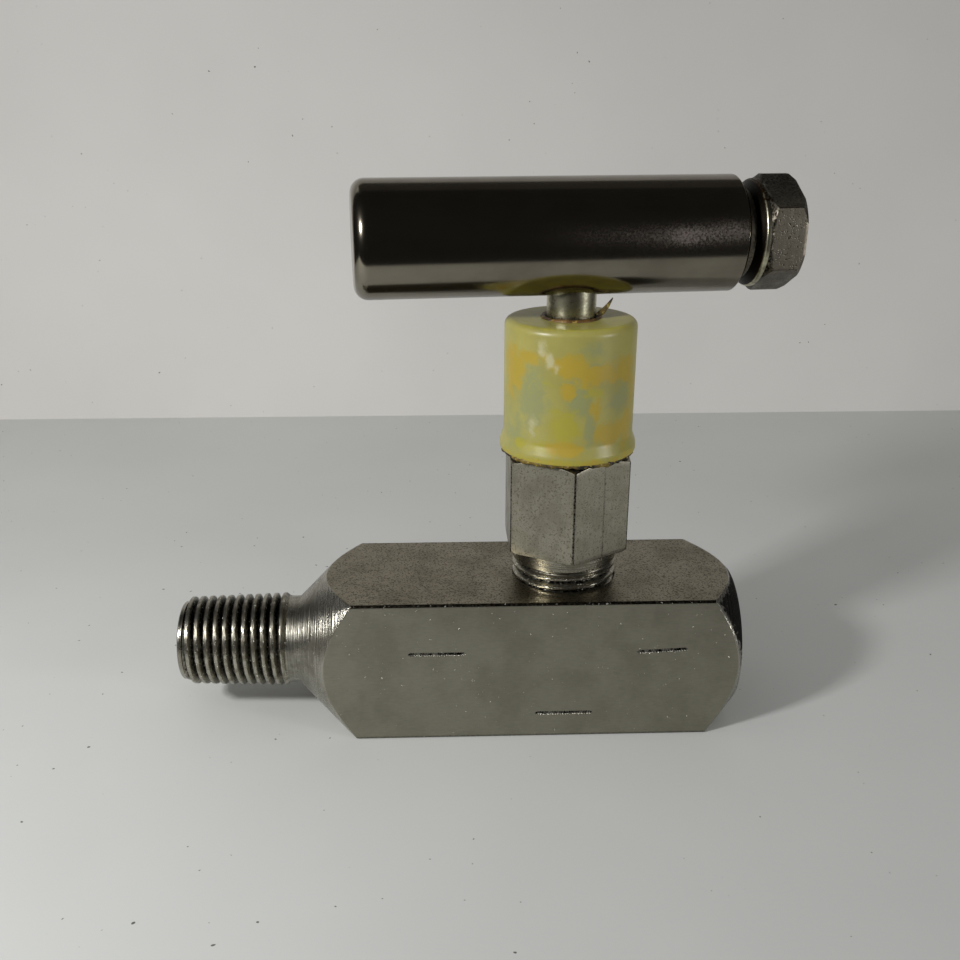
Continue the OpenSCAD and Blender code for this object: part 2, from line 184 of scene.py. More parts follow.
@dataclass(frozen=True)
class Steel(Surface):
    """Bare machined steel: tool marks, stains, specks, and grime or painted shade on a metal base.

    Real pits and the finest tool marks are too small to show, so the sizes below
    draw them coarser than they are.

    Attributes:
        colour: Colour of the clean metal.
        stain: Colour of the stained metal.
        stain_share: How much of the surface is stained, from 0 to 1.
        stain_size: Size of a stain.
        marks: Length of a tool mark along X, Y and Z; a long one is a streak.
        mark_depth: Depth of the tool marks.
        mark_tone: How far the tool marks lighten and darken the colour.
        rough: Roughness of the clean and of the stained metal.
        speck_size: Distance between specks.
        speck_share: How much of the surface is specked, from 0 to 1.
        speck_colour: Colour of a speck.
        pit_depth: Depth of a speck.
        glint_share: How much of the surface is bright burrs, from 0 to 1.
        glint_colour: Colour of a burr.
        burr_size: Distance between burrs.
        burr_height: Height of a burr.
        grime_and_shade_colour: Colour where the piece's grime_and_shade attribute is 1, which is dirt in some
            places and painted shade or painted dark reflection in others; above 1 it covers without gaps.
        grime_rough: Roughness there.
    """

    colour: str
    stain: str
    stain_share: float = 0.4
    stain_size: float = 4.0
    marks: tuple[float, float, float] = (3.0, 3.0, 3.0)
    mark_depth: float = 0.004
    mark_tone: float = 0.12
    rough: tuple[float, float] = (0.28, 0.42)
    speck_size: float = 0.5
    speck_share: float = 0.1
    speck_colour: str = "#2c2822"
    pit_depth: float = 0.015
    glint_share: float = 0.0
    glint_colour: str = "#e6e2d6"
    burr_size: float = 0.42
    burr_height: float = 0.09
    grime_and_shade_colour: str = "#1f1b16"
    grime_rough: float = 0.45

    def paint(self, tree: bpy.types.NodeTree, place: bpy.types.NodeSocket) -> dict[str, object]:
        """Lays stains, tool marks, specks, grime and painted shade, and burrs on the metal, in that order.

        Args:
            tree: The node tree.
            place: The piece's Object coordinates.

        Returns:
            Inputs of the shader by name.
        """
        # Most of a noise lies from 0.3 to 0.7, so a share is laid over about that span
        cloud = add(tree, "TexNoise", cells(place, self.stain_size, 5.0, 0.6))
        middle = 0.66 - 0.32 * self.stain_share
        stained = add(tree, "MapRange", (cloud, middle - 0.14, middle + 0.14), **SMOOTH)
        stretch = tuple(1 / (size * MM) for size in self.marks)
        stretched = add(tree, "Mapping", {"Vector": place, "Scale": stretch})
        streak = add(tree, "TexNoise", {"Vector": stretched, "Scale": 1.0, "Detail": 4.0, "Roughness": 0.65})
        speck = add(tree, "TexNoise", cells(place, self.speck_size, 2.0, 0.55))
        cover = 0.3 * self.speck_share
        specked = add(tree, "MapRange", (speck, 0.74 - cover, 0.82 - cover))
        # Grime and painted shade are thinner where there are no specks, and run out into them
        dirt_and_shade = add(tree, "Attribute", {}, "Fac", attribute_name="grime_and_shade")
        uneven = add(tree, "MapRange", (speck, 0.35, 0.65, 0.4, 1.25))
        grime_and_shade = add(tree, "Math", (dirt_and_shade, uneven), operation="MULTIPLY", use_clamp=True)
        tone = add(tree, "MapRange", (streak, 0.3, 0.7, 1 - self.mark_tone, 1 + self.mark_tone))
        colour = add(tree, "Mix", {0: stained, 6: linear(self.colour), 7: linear(self.stain)}, **TINT)
        colour = add(tree, "Mix", {0: 1.0, 6: colour, 7: tone}, **MULTIPLY)
        colour = add(tree, "Mix", {0: specked, 6: colour, 7: linear(self.speck_colour)}, **TINT)
        colour = add(tree, "Mix", {0: grime_and_shade, 6: colour, 7: linear(self.grime_and_shade_colour)}, **TINT)
        rough = add(tree, "MapRange", {0: stained, 3: self.rough[0], 4: self.rough[1]})
        rough = add(tree, "MapRange", {0: grime_and_shade, 3: rough, 4: self.grime_rough})
        bump = add(tree, "Bump", {"Height": streak, "Distance": self.mark_depth * MM, "Strength": 1.0})
        pits = {"Height": specked, "Distance": self.pit_depth * MM, "Strength": 0.6, "Normal": bump}
        bump = add(tree, "Bump", pits, invert=True)
        if self.glint_share:
            # A burr turns its facets every way, so a few of them catch the lamp
            burr = add(tree, "TexNoise", {**cells(place, self.burr_size, 1.0), "Distortion": 0.4})
            cover = 0.3 * self.glint_share
            glint = add(tree, "MapRange", (burr, 0.77 - cover, 0.83 - cover))
            colour = add(tree, "Mix", {0: glint, 6: colour, 7: linear(self.glint_colour)}, **TINT)
            burrs = {"Height": glint, "Distance": self.burr_height * MM, "Strength": 1.0, "Normal": bump}
            bump = add(tree, "Bump", burrs)
        return {"Base Color": colour, "Metallic": 1.0, "Roughness": rough, "Normal": bump}


@dataclass(frozen=True)
class Moulding(Surface):
    """Plain moulded rubber or plastic with a faint mottle.

    Attributes:
        colour: Its colour.
        fleck: Colour of the mottle.
        rough: Roughness.
        mottle_size: Size of the mottle.
    """

    colour: str
    fleck: str
    rough: float
    mottle_size: float = 0.8

    def paint(self, tree: bpy.types.NodeTree, place: bpy.types.NodeSocket) -> dict[str, object]:
        """Mottles the colour and roughs the skin with the same noise.

        Args:
            tree: The node tree.
            place: The piece's Object coordinates.

        Returns:
            Inputs of the shader by name.
        """
        mottle = add(tree, "TexNoise", cells(place, self.mottle_size, 4.0))
        colour = add(tree, "Mix", {0: mottle, 6: linear(self.colour), 7: linear(self.fleck)}, **TINT)
        bump = add(tree, "Bump", {"Height": mottle, "Distance": 0.01 * MM, "Strength": 0.5})
        return {"Base Color": colour, "Roughness": self.rough, "Normal": bump}


@dataclass(frozen=True)
class AgedPolyethylene(Surface):
    """Translucent polyethylene, with grease and the metal inside showing in patches.

    The patches attribute of the piece says where they are: red is amber grease,
    green is metal that shows through, blue is a whitish scuff and alpha is olive grease.

    Attributes:
        clear: Colour of the clean plastic.
        amber: Colour of the grease patches.
        metal: Grey-green where the metal inside shows through.
        olive: Colour of the thin grease film.
        scuff: Colour of the whitish scuffs.
        rough: Roughness of the moulded skin.
        edge_size: Size of the nicks that make a patch's edge ragged.
        cloud_size: Size of the clouds in the plastic.
        ripple_size: Width of a ripple in the skin.
        ripple_height: Height of a ripple.
        depth: How far light gets into the plastic.
    """

    name: str = "aged translucent polyethylene"
    clear: str = "#948e4e"
    amber: str = "#a08c33"
    metal: str = "#87895c"
    olive: str = "#989139"
    scuff: str = "#aaa57f"
    rough: float = 0.37
    edge_size: float = 1.6
    cloud_size: float = 5.0
    ripple_size: float = 2.2
    ripple_height: float = 0.05
    depth: float = 1.2

    def paint(self, tree: bpy.types.NodeTree, place: bpy.types.NodeSocket) -> dict[str, object]:
        """Lays metal, olive and amber grease and scuffs over the clear plastic, in that order.

        A patch covers where its strength and the noise together come to about 1,
        which makes its edge ragged.

        Args:
            tree: The node tree.
            place: The piece's Object coordinates.

        Returns:
            Inputs of the shader by name.
        """
        ragged = add(tree, "TexNoise", cells(place, self.edge_size, 5.0, 0.6))
        patches = add(tree, "Attribute", {}, "Color", attribute_name="patches")
        split = add(tree, "SeparateColor", (patches,)).node.outputs
        film = patches.node.outputs["Alpha"]
        cloud = add(tree, "TexNoise", cells(place, self.cloud_size, 3.0))
        tone = add(tree, "MapRange", (cloud, 0.3, 0.7, 0.9, 1.08))
        colour = add(tree, "Mix", {0: 1.0, 6: linear(self.clear), 7: tone}, **MULTIPLY)
        for strength, layer, soft in (
            (split[1], self.metal, 0.2),
            (film, self.olive, 0.16),
            (split[0], self.amber, 0.15),
            (split[2], self.scuff, 0.24),
        ):
            level = add(tree, "Math", (ragged, 1.2, strength), operation="MULTIPLY_ADD")
            share = add(tree, "MapRange", (level, 1.02 - soft, 1.02 + soft), **SMOOTH)
            colour = add(tree, "Mix", {0: share, 6: colour, 7: linear(layer)}, **TINT)
        ripple = add(tree, "TexNoise", cells(place, self.ripple_size, 3.0))
        bump = add(tree, "Bump", {"Height": ripple, "Distance": self.ripple_height * MM, "Strength": 0.6})
        return {
            "Base Color": colour,
            "Roughness": self.rough,
            "Subsurface Weight": 0.65,
            "Subsurface Radius": (1.0, 0.8, 0.35),
            "Subsurface Scale": self.depth * MM,
            "Normal": bump,
        }


@dataclass(frozen=True)
class Residue(Surface):
    """Old thread compound and grease: dark, with yellow and black crumbs.

    Attributes:
        colour: Its main colour.
        crumb: Colour of its pale crumbs.
        darkening: Colour of its darkest places.
        crumb_size: Size of a crumb.
        soot_size: Size of a dark place.
        crumb_height: How far a crumb stands up.
    """

    colour: str
    crumb: str
    darkening: str
    crumb_size: float = 0.5
    soot_size: float = 3.0
    crumb_height: float = 0.12

    def paint(self, tree: bpy.types.NodeTree, place: bpy.types.NodeSocket) -> dict[str, object]:
        """Darkens the residue in places and strews it with pale crumbs.

        Args:
            tree: The node tree.
            place: The piece's Object coordinates.

        Returns:
            Inputs of the shader by name.
        """
        lump = add(tree, "TexNoise", cells(place, self.crumb_size, 4.0, 0.65))
        drift = add(tree, "TexNoise", cells(place, self.soot_size, 2.0))
        crumbs = add(tree, "MapRange", (lump, 0.56, 0.64))
        sooty = add(tree, "MapRange", (drift, 0.42, 0.6))
        colour = add(tree, "Mix", {0: sooty, 6: linear(self.colour), 7: linear(self.darkening)}, **TINT)
        colour = add(tree, "Mix", {0: crumbs, 6: colour, 7: linear(self.crumb)}, **TINT)
        bump = add(tree, "Bump", {"Height": lump, "Distance": self.crumb_height * MM, "Strength": 0.9})
        return {"Base Color": colour, "Roughness": 0.5, "Normal": bump}


@dataclass(frozen=True)
class PaintedBoard(Surface):
    """A pale board of the stage: soft clouds, a painted gradient of light over it and a few crumbs of dirt.

    Attributes:
        colour: Its colour.
        fade: How much the painted light gradient gets lighter in a metre along X, Y and Z.
        middle: How light the painted light gradient is at the origin, against the colour.
        fade_reach: How far the painted light gradient goes either side of the middle.
        crumb_colour: Colour of a crumb.
        crumb_size: Size of a crumb; a real one is finer and would not show.
        cloud_size: Size of a cloud.
    """

    colour: str
    fade: tuple[float, float, float]
    middle: float
    fade_reach: float = 0.22
    crumb_colour: str = "#56534d"
    crumb_size: float = 1.1
    cloud_size: float = 1000 / 18

    def paint(self, tree: bpy.types.NodeTree, place: bpy.types.NodeSocket) -> dict[str, object]:
        """Multiplies the colour by the clouds and by a painted gradient of light, and strews it with crumbs.

        Args:
            tree: The node tree.
            place: The board's Object coordinates.

        Returns:
            Inputs of the shader by name.
        """
        cloud = add(tree, "TexNoise", cells(place, self.cloud_size, 3.0))
        lift = add(tree, "MapRange", (cloud, 0.3, 0.7, 0.97, 1.03))
        # A painted gradient of light: lighter and darker along the fade, in place of the lamps' falloff
        slope = add(tree, "VectorMath", (place, self.fade), "Value", operation="DOT_PRODUCT")
        reach, middle = self.fade_reach, self.middle
        painted_light_gradient = add(tree, "MapRange", (slope, -reach, reach, middle - reach, middle + reach))
        crumb = add(tree, "TexNoise", cells(place, self.crumb_size, 1.0))
        crumbs = add(tree, "MapRange", (crumb, 0.775, 0.8))
        colour = add(tree, "Mix", {0: 1.0, 6: linear(self.colour), 7: lift}, **MULTIPLY)
        colour = add(tree, "Mix", {0: 1.0, 6: colour, 7: painted_light_gradient}, **MULTIPLY)
        colour = add(tree, "Mix", {0: crumbs, 6: colour, 7: linear(self.crumb_colour)}, **TINT)
        return {"Base Color": colour, "Roughness": 0.7}


class Finish(Enum):
    """The finishes of this valve, and what each gives the eye."""

    # Drawn bar, brushed along its length: even, with soft clouds and a few specks
    BAR_FACE = Steel(
        name="satin drawn bar steel", colour="#939082", stain="#8a8779", stain_share=0.42, stain_size=6.0,
        marks=(1.2, 0.3, 0.3), mark_depth=0.003, mark_tone=0.07, rough=(0.34, 0.4),
        speck_size=0.3, speck_share=0.2, speck_colour="#74705f", glint_share=0.02, grime_and_shade_colour="#14110d",
    )
    # The same bar where it lay up in the weather: brown, with fine pits
    TOP_FACE = Steel(
        name="weathered bar steel", colour="#928b79", stain="#847d6b", stain_share=0.5, stain_size=5.0,
        marks=(2.0, 0.6, 0.6), mark_depth=0.004, mark_tone=0.08, rough=(0.29, 0.39),
        speck_size=0.27, speck_share=0.74, speck_colour="#575041", grime_and_shade_colour="#14110d",
    )
    # The broken edge between two faces: painted black as a reflection of the dark room in its rounding, with
    # bright burrs
    BAR_EDGE_PAINTED_DARK = Steel(
        name="rolled bar edge", colour="#1b1813", stain="#575247", stain_share=0.36, stain_size=0.55,
        mark_depth=0.004, rough=(0.4, 0.5), speck_share=0.2, glint_share=0.26,
    )
    # Lathe work: rings across the axis that stretch every highlight
    TURNED_END = Steel(
        name="turned steel", colour="#b0ada2", stain="#969286", stain_share=0.35, stain_size=4.0,
        marks=(0.3, 90.0, 90.0), mark_depth=0.26, mark_tone=0.12, rough=(0.21, 0.28),
        speck_size=0.6, speck_share=0.0, grime_and_shade_colour="#100e0c", grime_rough=0.6,
    )
    # Die-cut thread: bright worn crests, roots painted dark as shade and dirt, torn burrs
    THREAD = Steel(
        name="cut steel thread", colour="#b2afa2", stain="#878273", stain_share=0.4, stain_size=1.5,
        marks=(0.25, 7.0, 7.0), mark_depth=0.025, mark_tone=0.14, rough=(0.25, 0.36),
        speck_size=0.4, speck_share=0.25, glint_share=0.31, grime_and_shade_colour="#0e0c0a",
    )
    # Drilled holes: duller rings that stay in the dark
    BORE = Steel(
        name="drilled steel bore", colour="#7c786a", stain="#5a5548", stain_share=0.4, stain_size=3.0,
        marks=(0.3, 20.0, 20.0), mark_depth=0.01, rough=(0.34, 0.5),
    )
    # Cold-drawn hexagon: matt and lightly pitted, with faint lines up its length
    HEX_FACE = Steel(
        name="drawn hexagon steel", colour="#a09c8d", stain="#918d7e", stain_share=0.45, stain_size=3.0,
        marks=(0.5, 0.5, 4.0), mark_depth=0.004, mark_tone=0.08, rough=(0.36, 0.44),
        speck_size=0.26, speck_share=0.6, speck_colour="#7b7666", grime_and_shade_colour="#1b1713",
    )
    # Turned bonnet: fine rings round an upright axis, bright on their crests
    NECK = Steel(
        name="turned bonnet steel", colour="#a8a496", stain="#8a8474", stain_share=0.3, stain_size=2.0,
        marks=(60.0, 60.0, 0.22), mark_depth=0.06, mark_tone=0.14, rough=(0.24, 0.34),
        speck_size=0.4, speck_share=0.2, glint_share=0.05, grime_and_shade_colour="#1d1813",
    )
    # Ground rod: smooth and pale, with small stains and brown grease where it leaves the cap
    STEM = Steel(
        name="ground stem steel", colour="#c2bfa6", stain="#88836f", stain_share=0.3, stain_size=1.2,
        marks=(0.7, 0.7, 0.3), mark_depth=0.02, mark_tone=0.12, rough=(0.28, 0.38),
        speck_size=0.35, speck_share=0.25, grime_and_shade_colour="#3a2c1c",
    )
    # Polished stainless bar: a mirror that turns to a grey haze where it is worn
    POLISHED = Steel(
        name="polished stainless steel", colour="#898376", stain="#7f786c", stain_share=0.4, stain_size=7.0,
        marks=(9.0, 1.0, 1.0), mark_depth=0.0008, mark_tone=0.05, rough=(0.15, 0.19),
        speck_size=0.25, speck_share=0.0, speck_colour="#4a443c", grime_and_shade_colour="#948984", grime_rough=0.47,
    )
    # Milled bolt: satin flats with brown pits, black where shade and dark reflections are painted on it
    BOLT = Steel(
        name="milled bolt steel", colour="#918b7e", stain="#756e61", stain_share=0.5, stain_size=2.0,
        marks=(0.35, 2.5, 2.5), mark_depth=0.008, mark_tone=0.12, rough=(0.34, 0.44),
        speck_size=0.28, speck_share=0.5, speck_colour="#575145", grime_and_shade_colour="#15120e",
    )
    # Lapped seat and needle: bright and almost without marks
    SEAT = Steel(
        name="lapped seat steel", colour="#b4b4b0", stain="#9c9a92", stain_share=0.2, stain_size=3.0,
        marks=(4.0, 4.0, 0.3), mark_depth=0.001, rough=(0.14, 0.22),
    )
    # Annealed copper washer: pink metal, soft highlights
    COPPER = Steel(
        name="soft copper", colour="#b9724a", stain="#8a5236", stain_size=2.0, mark_depth=0.002,
        rough=(0.3, 0.42),
    )
    # Moulded cap: waxy yellow that lets light in, so that grease and metal show through it
    CAP = AgedPolyethylene()
    # Compound squeezed out of the joint: ochre crumbs in black
    COMPOUND = Residue("dried thread compound", "#6b5719", "#a08c38", "#1b150b")
    # Grease that has dried round the stem: brown and lumpy
    GREASE = Residue("old grease", "#6a4b20", "#8a7238", "#33230f", crumb_size=0.7)
    # Rings cut from a white fluoropolymer rod: waxy white
    FLUOROPOLYMER = Moulding("skived fluoropolymer", "#eceae2", "#dcd8cc", 0.42)
    # Moulded nitrile o-ring: matt black
    RUBBER = Moulding("nitrile rubber", "#1d1c1b", "#2b2927", 0.5)


MATERIALS: dict[Finish, bpy.types.Material] = {}


def material_of(finish: Finish) -> bpy.types.Material:
    """The material of a finish, built once.

    Args:
        finish: The finish.

    Returns:
        Its material.
    """
    if finish not in MATERIALS:
        MATERIALS[finish] = finish.value.material()
    return MATERIALS[finish]


# ------------------------------------------------------------------- surfaces


@dataclass(frozen=True)
class Axis:
    """A line that round pieces are turned on.

    Attributes:
        origin: A point on it.
        level: True if the line lies level and False if it stands along +Z.
        yaw: Angle of a level line from +X, in radians.
    """

    origin: tuple[float, float, float]
    level: bool = False
    yaw: float = 0.0

    def place(self, rings: np.ndarray) -> np.ndarray:
        """Carries points from the axis's own frame, with Z along it, to the part's.

        Args:
            rings: Points, with x, y and z last.

        Returns:
            The points in the part's frame, in millimetres.
        """
        if self.level:
            flat = np.stack([rings[..., 2], rings[..., 1], -rings[..., 0]], axis=-1)
            cos, sin = math.cos(self.yaw), math.sin(self.yaw)
            turn = np.array([[cos, -sin, 0.0], [sin, cos, 0.0], [0.0, 0.0, 1.0]])
            rings = flat @ turn.T
        return rings + np.array(self.origin)


UPRIGHT = Axis((0.0, 0.0, 0.0))
"""The axis that the bonnet, the cap and the stem share."""


@dataclass
class Sheet:
    """Rows of a surface on an axis: radii and heights on a grid, and a finish for each row.

    Radii, heights and grime or painted shade broadcast to one row of columns, so a plain turned
    ring is two numbers.

    Attributes:
        theta: Angle of each column, rising.
        radii: Radius of each column, for each row.
        heights: Height of each column, for each row.
        grimes_and_shades: How dirty each column is, or how dark it is painted as shade or reflection, for
            each row.
        finishes: Finish of the band that ends at each row.
    """

    theta: np.ndarray
    radii: list[np.ndarray] = field(default_factory=list)
    heights: list[np.ndarray] = field(default_factory=list)
    grimes_and_shades: list[np.ndarray] = field(default_factory=list)
    finishes: list[Finish] = field(default_factory=list)

    @classmethod
    def even(cls, columns: int) -> "Sheet":
        """A sheet whose columns are evenly spread."""
        return cls(np.arange(columns) * (TURN / columns))

    def row(
        self,
        radius: np.ndarray | float,
        height: np.ndarray | float,
        finish: Finish,
        grime_and_shade: np.ndarray | float = 0.0,
    ) -> None:
        """Adds one ring.

        Args:
            radius: Its radius at each column.
            height: Its height at each column.
            finish: Finish of the band between the ring before it and this one.
            grime_and_shade: How dirty it is, or how dark it is painted as shade or reflection, at each
                column, from 0 to 1.
        """
        self.radii.append(np.broadcast_to(radius, self.theta.size).astype(float))
        self.heights.append(np.broadcast_to(height, self.theta.size).astype(float))
        self.grimes_and_shades.append(np.broadcast_to(grime_and_shade, self.theta.size).astype(float))
        self.finishes.append(finish)

    def turned(
        self,
        points: list[tuple[float, float]],
        finish: Finish,
        round_off: float = 0.0,
        grime_and_shade: float = 0.0,
    ) -> None:
        """Adds rings along a turned profile, with its inner corners rounded off.

        Each corner becomes a quadratic curve that starts and ends a short way
        from it along its two sides and leans on the corner.

        Args:
            points: Radius and height of each corner.
            finish: Finish of the bands.
            round_off: Length cut from both sides of each inner corner, if the side is long enough.
            grime_and_shade: How dirty the rings are, or how dark they are painted as shade or reflection.
        """
        corners = np.array(points, float)
        for i, corner in enumerate(corners):
            if not 0 < i < len(corners) - 1 or round_off <= 0:
                self.row(corner[0], corner[1], finish, grime_and_shade)
                continue
            before, after = corners[i - 1] - corner, corners[i + 1] - corner
            length_before, length_after = np.linalg.norm(before), np.linalg.norm(after)
            start = corner + before / length_before * min(round_off, length_before / LEAST_SIDE)
            end = corner + after / length_after * min(round_off, length_after / LEAST_SIDE)
            for share in (0.0, 1 / 3, 2 / 3, 1.0):
                point = (1 - share) ** 2 * start + 2 * share * (1 - share) * corner + share**2 * end
                self.row(point[0], point[1], finish, grime_and_shade)

    def rings(self) -> np.ndarray:
        """The points of the surface, rows first, in the axis's own frame.

        Returns:
            An array of rows, columns and x, y, z: radius times the cosine and
            sine of the column's angle, and the height.
        """
        radius, height = np.array(self.radii), np.array(self.heights)
        return np.stack([radius * np.cos(self.theta), radius * np.sin(self.theta), height], axis=-1)


@dataclass(frozen=True)
class Screw:
    """A right-handed 60 degree screw thread.

    Attributes:
        start: Height where the thread starts.
        end: Height where it ends.
        pitch: Height of one turn.
        depth: Depth from crest to root.
        runout: Length over which the thread fades at its start and its end.
        phase: Turn of the crest at the start, from 0 to 1.
        crest: Share of a pitch that the flat crest takes.
        root: Share of a pitch that the flat root takes.
        ease: Share of a flank that is rounded off beside the crest and the root.
    """

    start: float
    end: float
    pitch: float
    depth: float
    runout: tuple[float, float] = (0.7, 0.7)
    phase: float = 0.0
    crest: float = 0.16
    root: float = 0.12
    ease: float = 0.15

    def cut_at(self, height: np.ndarray, theta: np.ndarray) -> np.ndarray:
        """How deep the thread is cut at each point.

        A point's place in the thread is its height in pitches less its angle in
        turns. Half a pitch from a crest is a root, and between them is a straight
        flank, joined to crest and root by a quarter of a square on each side.

        Args:
            height: Heights.
            theta: Angles.

        Returns:
            Depth below the crest.
        """
        place = (height - self.start) / self.pitch - theta / TURN + self.phase
        from_crest = 1 - np.abs((place % 1.0) - 0.5) * 2
        slope = (from_crest - self.crest) / (1 - self.crest - self.root)
        ease = self.ease
        low = (slope + ease) ** 2 / (4 * ease)
        high = 1 - (1 + ease - slope) ** 2 / (4 * ease)
        cut = np.select(
            [slope <= -ease, slope < ease, slope <= 1 - ease, slope < 1 + ease], [0.0, low, slope, high], 1.0
        )
        fade_in = np.clip((height - self.start) / self.runout[0], 0, 1)
        fade_out = np.clip((self.end - height) / self.runout[1], 0, 1)
        return self.depth * cut * fade_in * fade_out

    def heights(self, steps: int = 20) -> np.ndarray:
        """Heights of the rows that draw it.

        Args:
            steps: Rows in one pitch.

        Returns:
            The heights, from start to end.
        """
        count = max(2, int(round((self.end - self.start) / self.pitch * steps)))
        return np.linspace(self.start, self.end, count)


def polygon_radius(
    theta: np.ndarray, sides: int, across_flats: float, corner: float, fillet: float
) -> np.ndarray:
    """Radius of a regular polygon with rounded corners, at each angle.

    Along a side it is the half width over the cosine of the angle to the
    side's middle. Near a corner it is where the ray meets a circle of the
    fillet's radius that touches both sides.

    Args:
        theta: Angles.
        sides: How many sides.
        across_flats: Width between two sides.
        corner: Angle of a corner.
        fillet: Radius of the rounded corners.

    Returns:
        Radii.
    """
    half = math.pi / sides
    away = np.abs((theta - corner + half) % (2 * half) - half)
    centre = (across_flats / 2 - fillet) / math.cos(half)
    reach = math.atan2(fillet * math.sin(half), centre + fillet * math.cos(half))
    across = np.clip(fillet**2 - (centre * np.sin(away)) ** 2, 0, None)
    rounded = centre * np.cos(away) + np.sqrt(across)
    return np.where(away < reach, rounded, across_flats / 2 / np.cos(half - away))


def corner_columns(columns: int, sides: int, corner: float, reach: float) -> np.ndarray:
    """Angles of columns that crowd round the corners of a polygon.

    Args:
        columns: Evenly spread columns to start with.
        sides: How many corners.
        corner: Angle of a corner.
        reach: Angle on both sides of a corner that is crowded.

    Returns:
        The angles, rising from 0 to a full turn.
    """
    even = np.arange(columns) * (TURN / columns)
    corners = corner + np.arange(sides) * (TURN / sides)
    away = np.abs((even[:, None] - corners + math.pi) % TURN - math.pi).min(axis=1)
    # Eleven columns cross each corner, and even ones too near to them are left out
    near = (corners[:, None] + np.linspace(-reach, reach, 11)).ravel() % TURN
    return np.sort(np.concatenate([even[away > reach * 1.2], near]))


def corner_share(theta: np.ndarray, sides: int, corner: float, reach: float) -> np.ndarray:
    """How near each angle is to a polygon's corner.

    Args:
        theta: Angles.
        sides: How many corners.
        corner: Angle of a corner.
        reach: Angle at which the share has fallen to 0.

    Returns:
        1 on a corner, falling smoothly to 0.
    """
    half = math.pi / sides
    away = np.abs((theta - corner + half) % (2 * half) - half)
    # It stays at 1 over the first three eighths of the reach
    share = np.clip(1.6 - 1.6 * away / reach, 0, 1)
    return share * share * (3 - 2 * share)


def milled_rows(
    sheet: Sheet,
    flat: np.ndarray,
    start: tuple[float, float, float],
    end: tuple[float, float, float],
    rows: int,
    ease: float,
    finishes: tuple[Finish, Finish, Finish],
    grime_and_shade: np.ndarray | float = 0.0,
    end_grime_and_shade: tuple[np.ndarray | float, np.ndarray | float] = (0.0, 0.0),
) -> None:
    """Adds a bar with flats whose two ends are turned to cones.

    A cone rises from the start ring by its slope until it meets the flat at
    each angle, and the end cone likewise, so that the rows follow the curved
    edges exactly. Each edge is eased by a row on both sides.

    Args:
        sheet: The surface to add to.
        flat: Radius of the flats at each column.
        start: Radius and height of the first ring and the cone's height per radius.
        end: The same for the last ring.
        rows: Rows on the flats.
        ease: Length of the eased edge.
        finishes: Finish of the first cone, the flats and the end cone.
        grime_and_shade: How dirty the flats are at each column, or how dark they are painted as shade or
            reflection.
        end_grime_and_shade: How dirty the first and the last ring are, or how dark they are painted as shade
            or reflection.
    """
    cones = []
    for (radius, height, slope), dirt_and_shade, way in ((start, end_grime_and_shade[0], 1), (end, end_grime_and_shade[1], -1)):
        low = np.minimum(flat, radius)
        meet = height + way * np.clip(flat - radius, 0, None) * slope
        sharp = 1 - np.clip(ease / np.maximum(flat - low, 1e-6), 0, 0.45)
        rings = [
            (low + (flat - low) * (share * sharp), height + (meet - height) * (share * sharp),
             dirt_and_shade * (1 - share) ** 0.4)
            for share in (0.0, 0.35, 0.7, 1.0)
        ]
        cones.append((meet, rings))
    (meet_a, rings_a), (meet_b, rings_b) = cones
    drop, inner_a, inner_b = ease * 0.22, meet_a + ease * 0.8, meet_b - ease * 0.8
    for radius, height, dirt_and_shade in rings_a:
        sheet.row(radius, height, finishes[0], dirt_and_shade)
    sheet.row(flat - drop, meet_a, finishes[0], grime_and_shade)
    for share in np.linspace(0, 1, rows):
        sheet.row(flat, inner_a + (inner_b - inner_a) * share, finishes[1], grime_and_shade)
    sheet.row(flat - drop, meet_b, finishes[1], grime_and_shade)
    for radius, height, dirt_and_shade in reversed(rings_b):
        sheet.row(radius, height, finishes[2], dirt_and_shade)


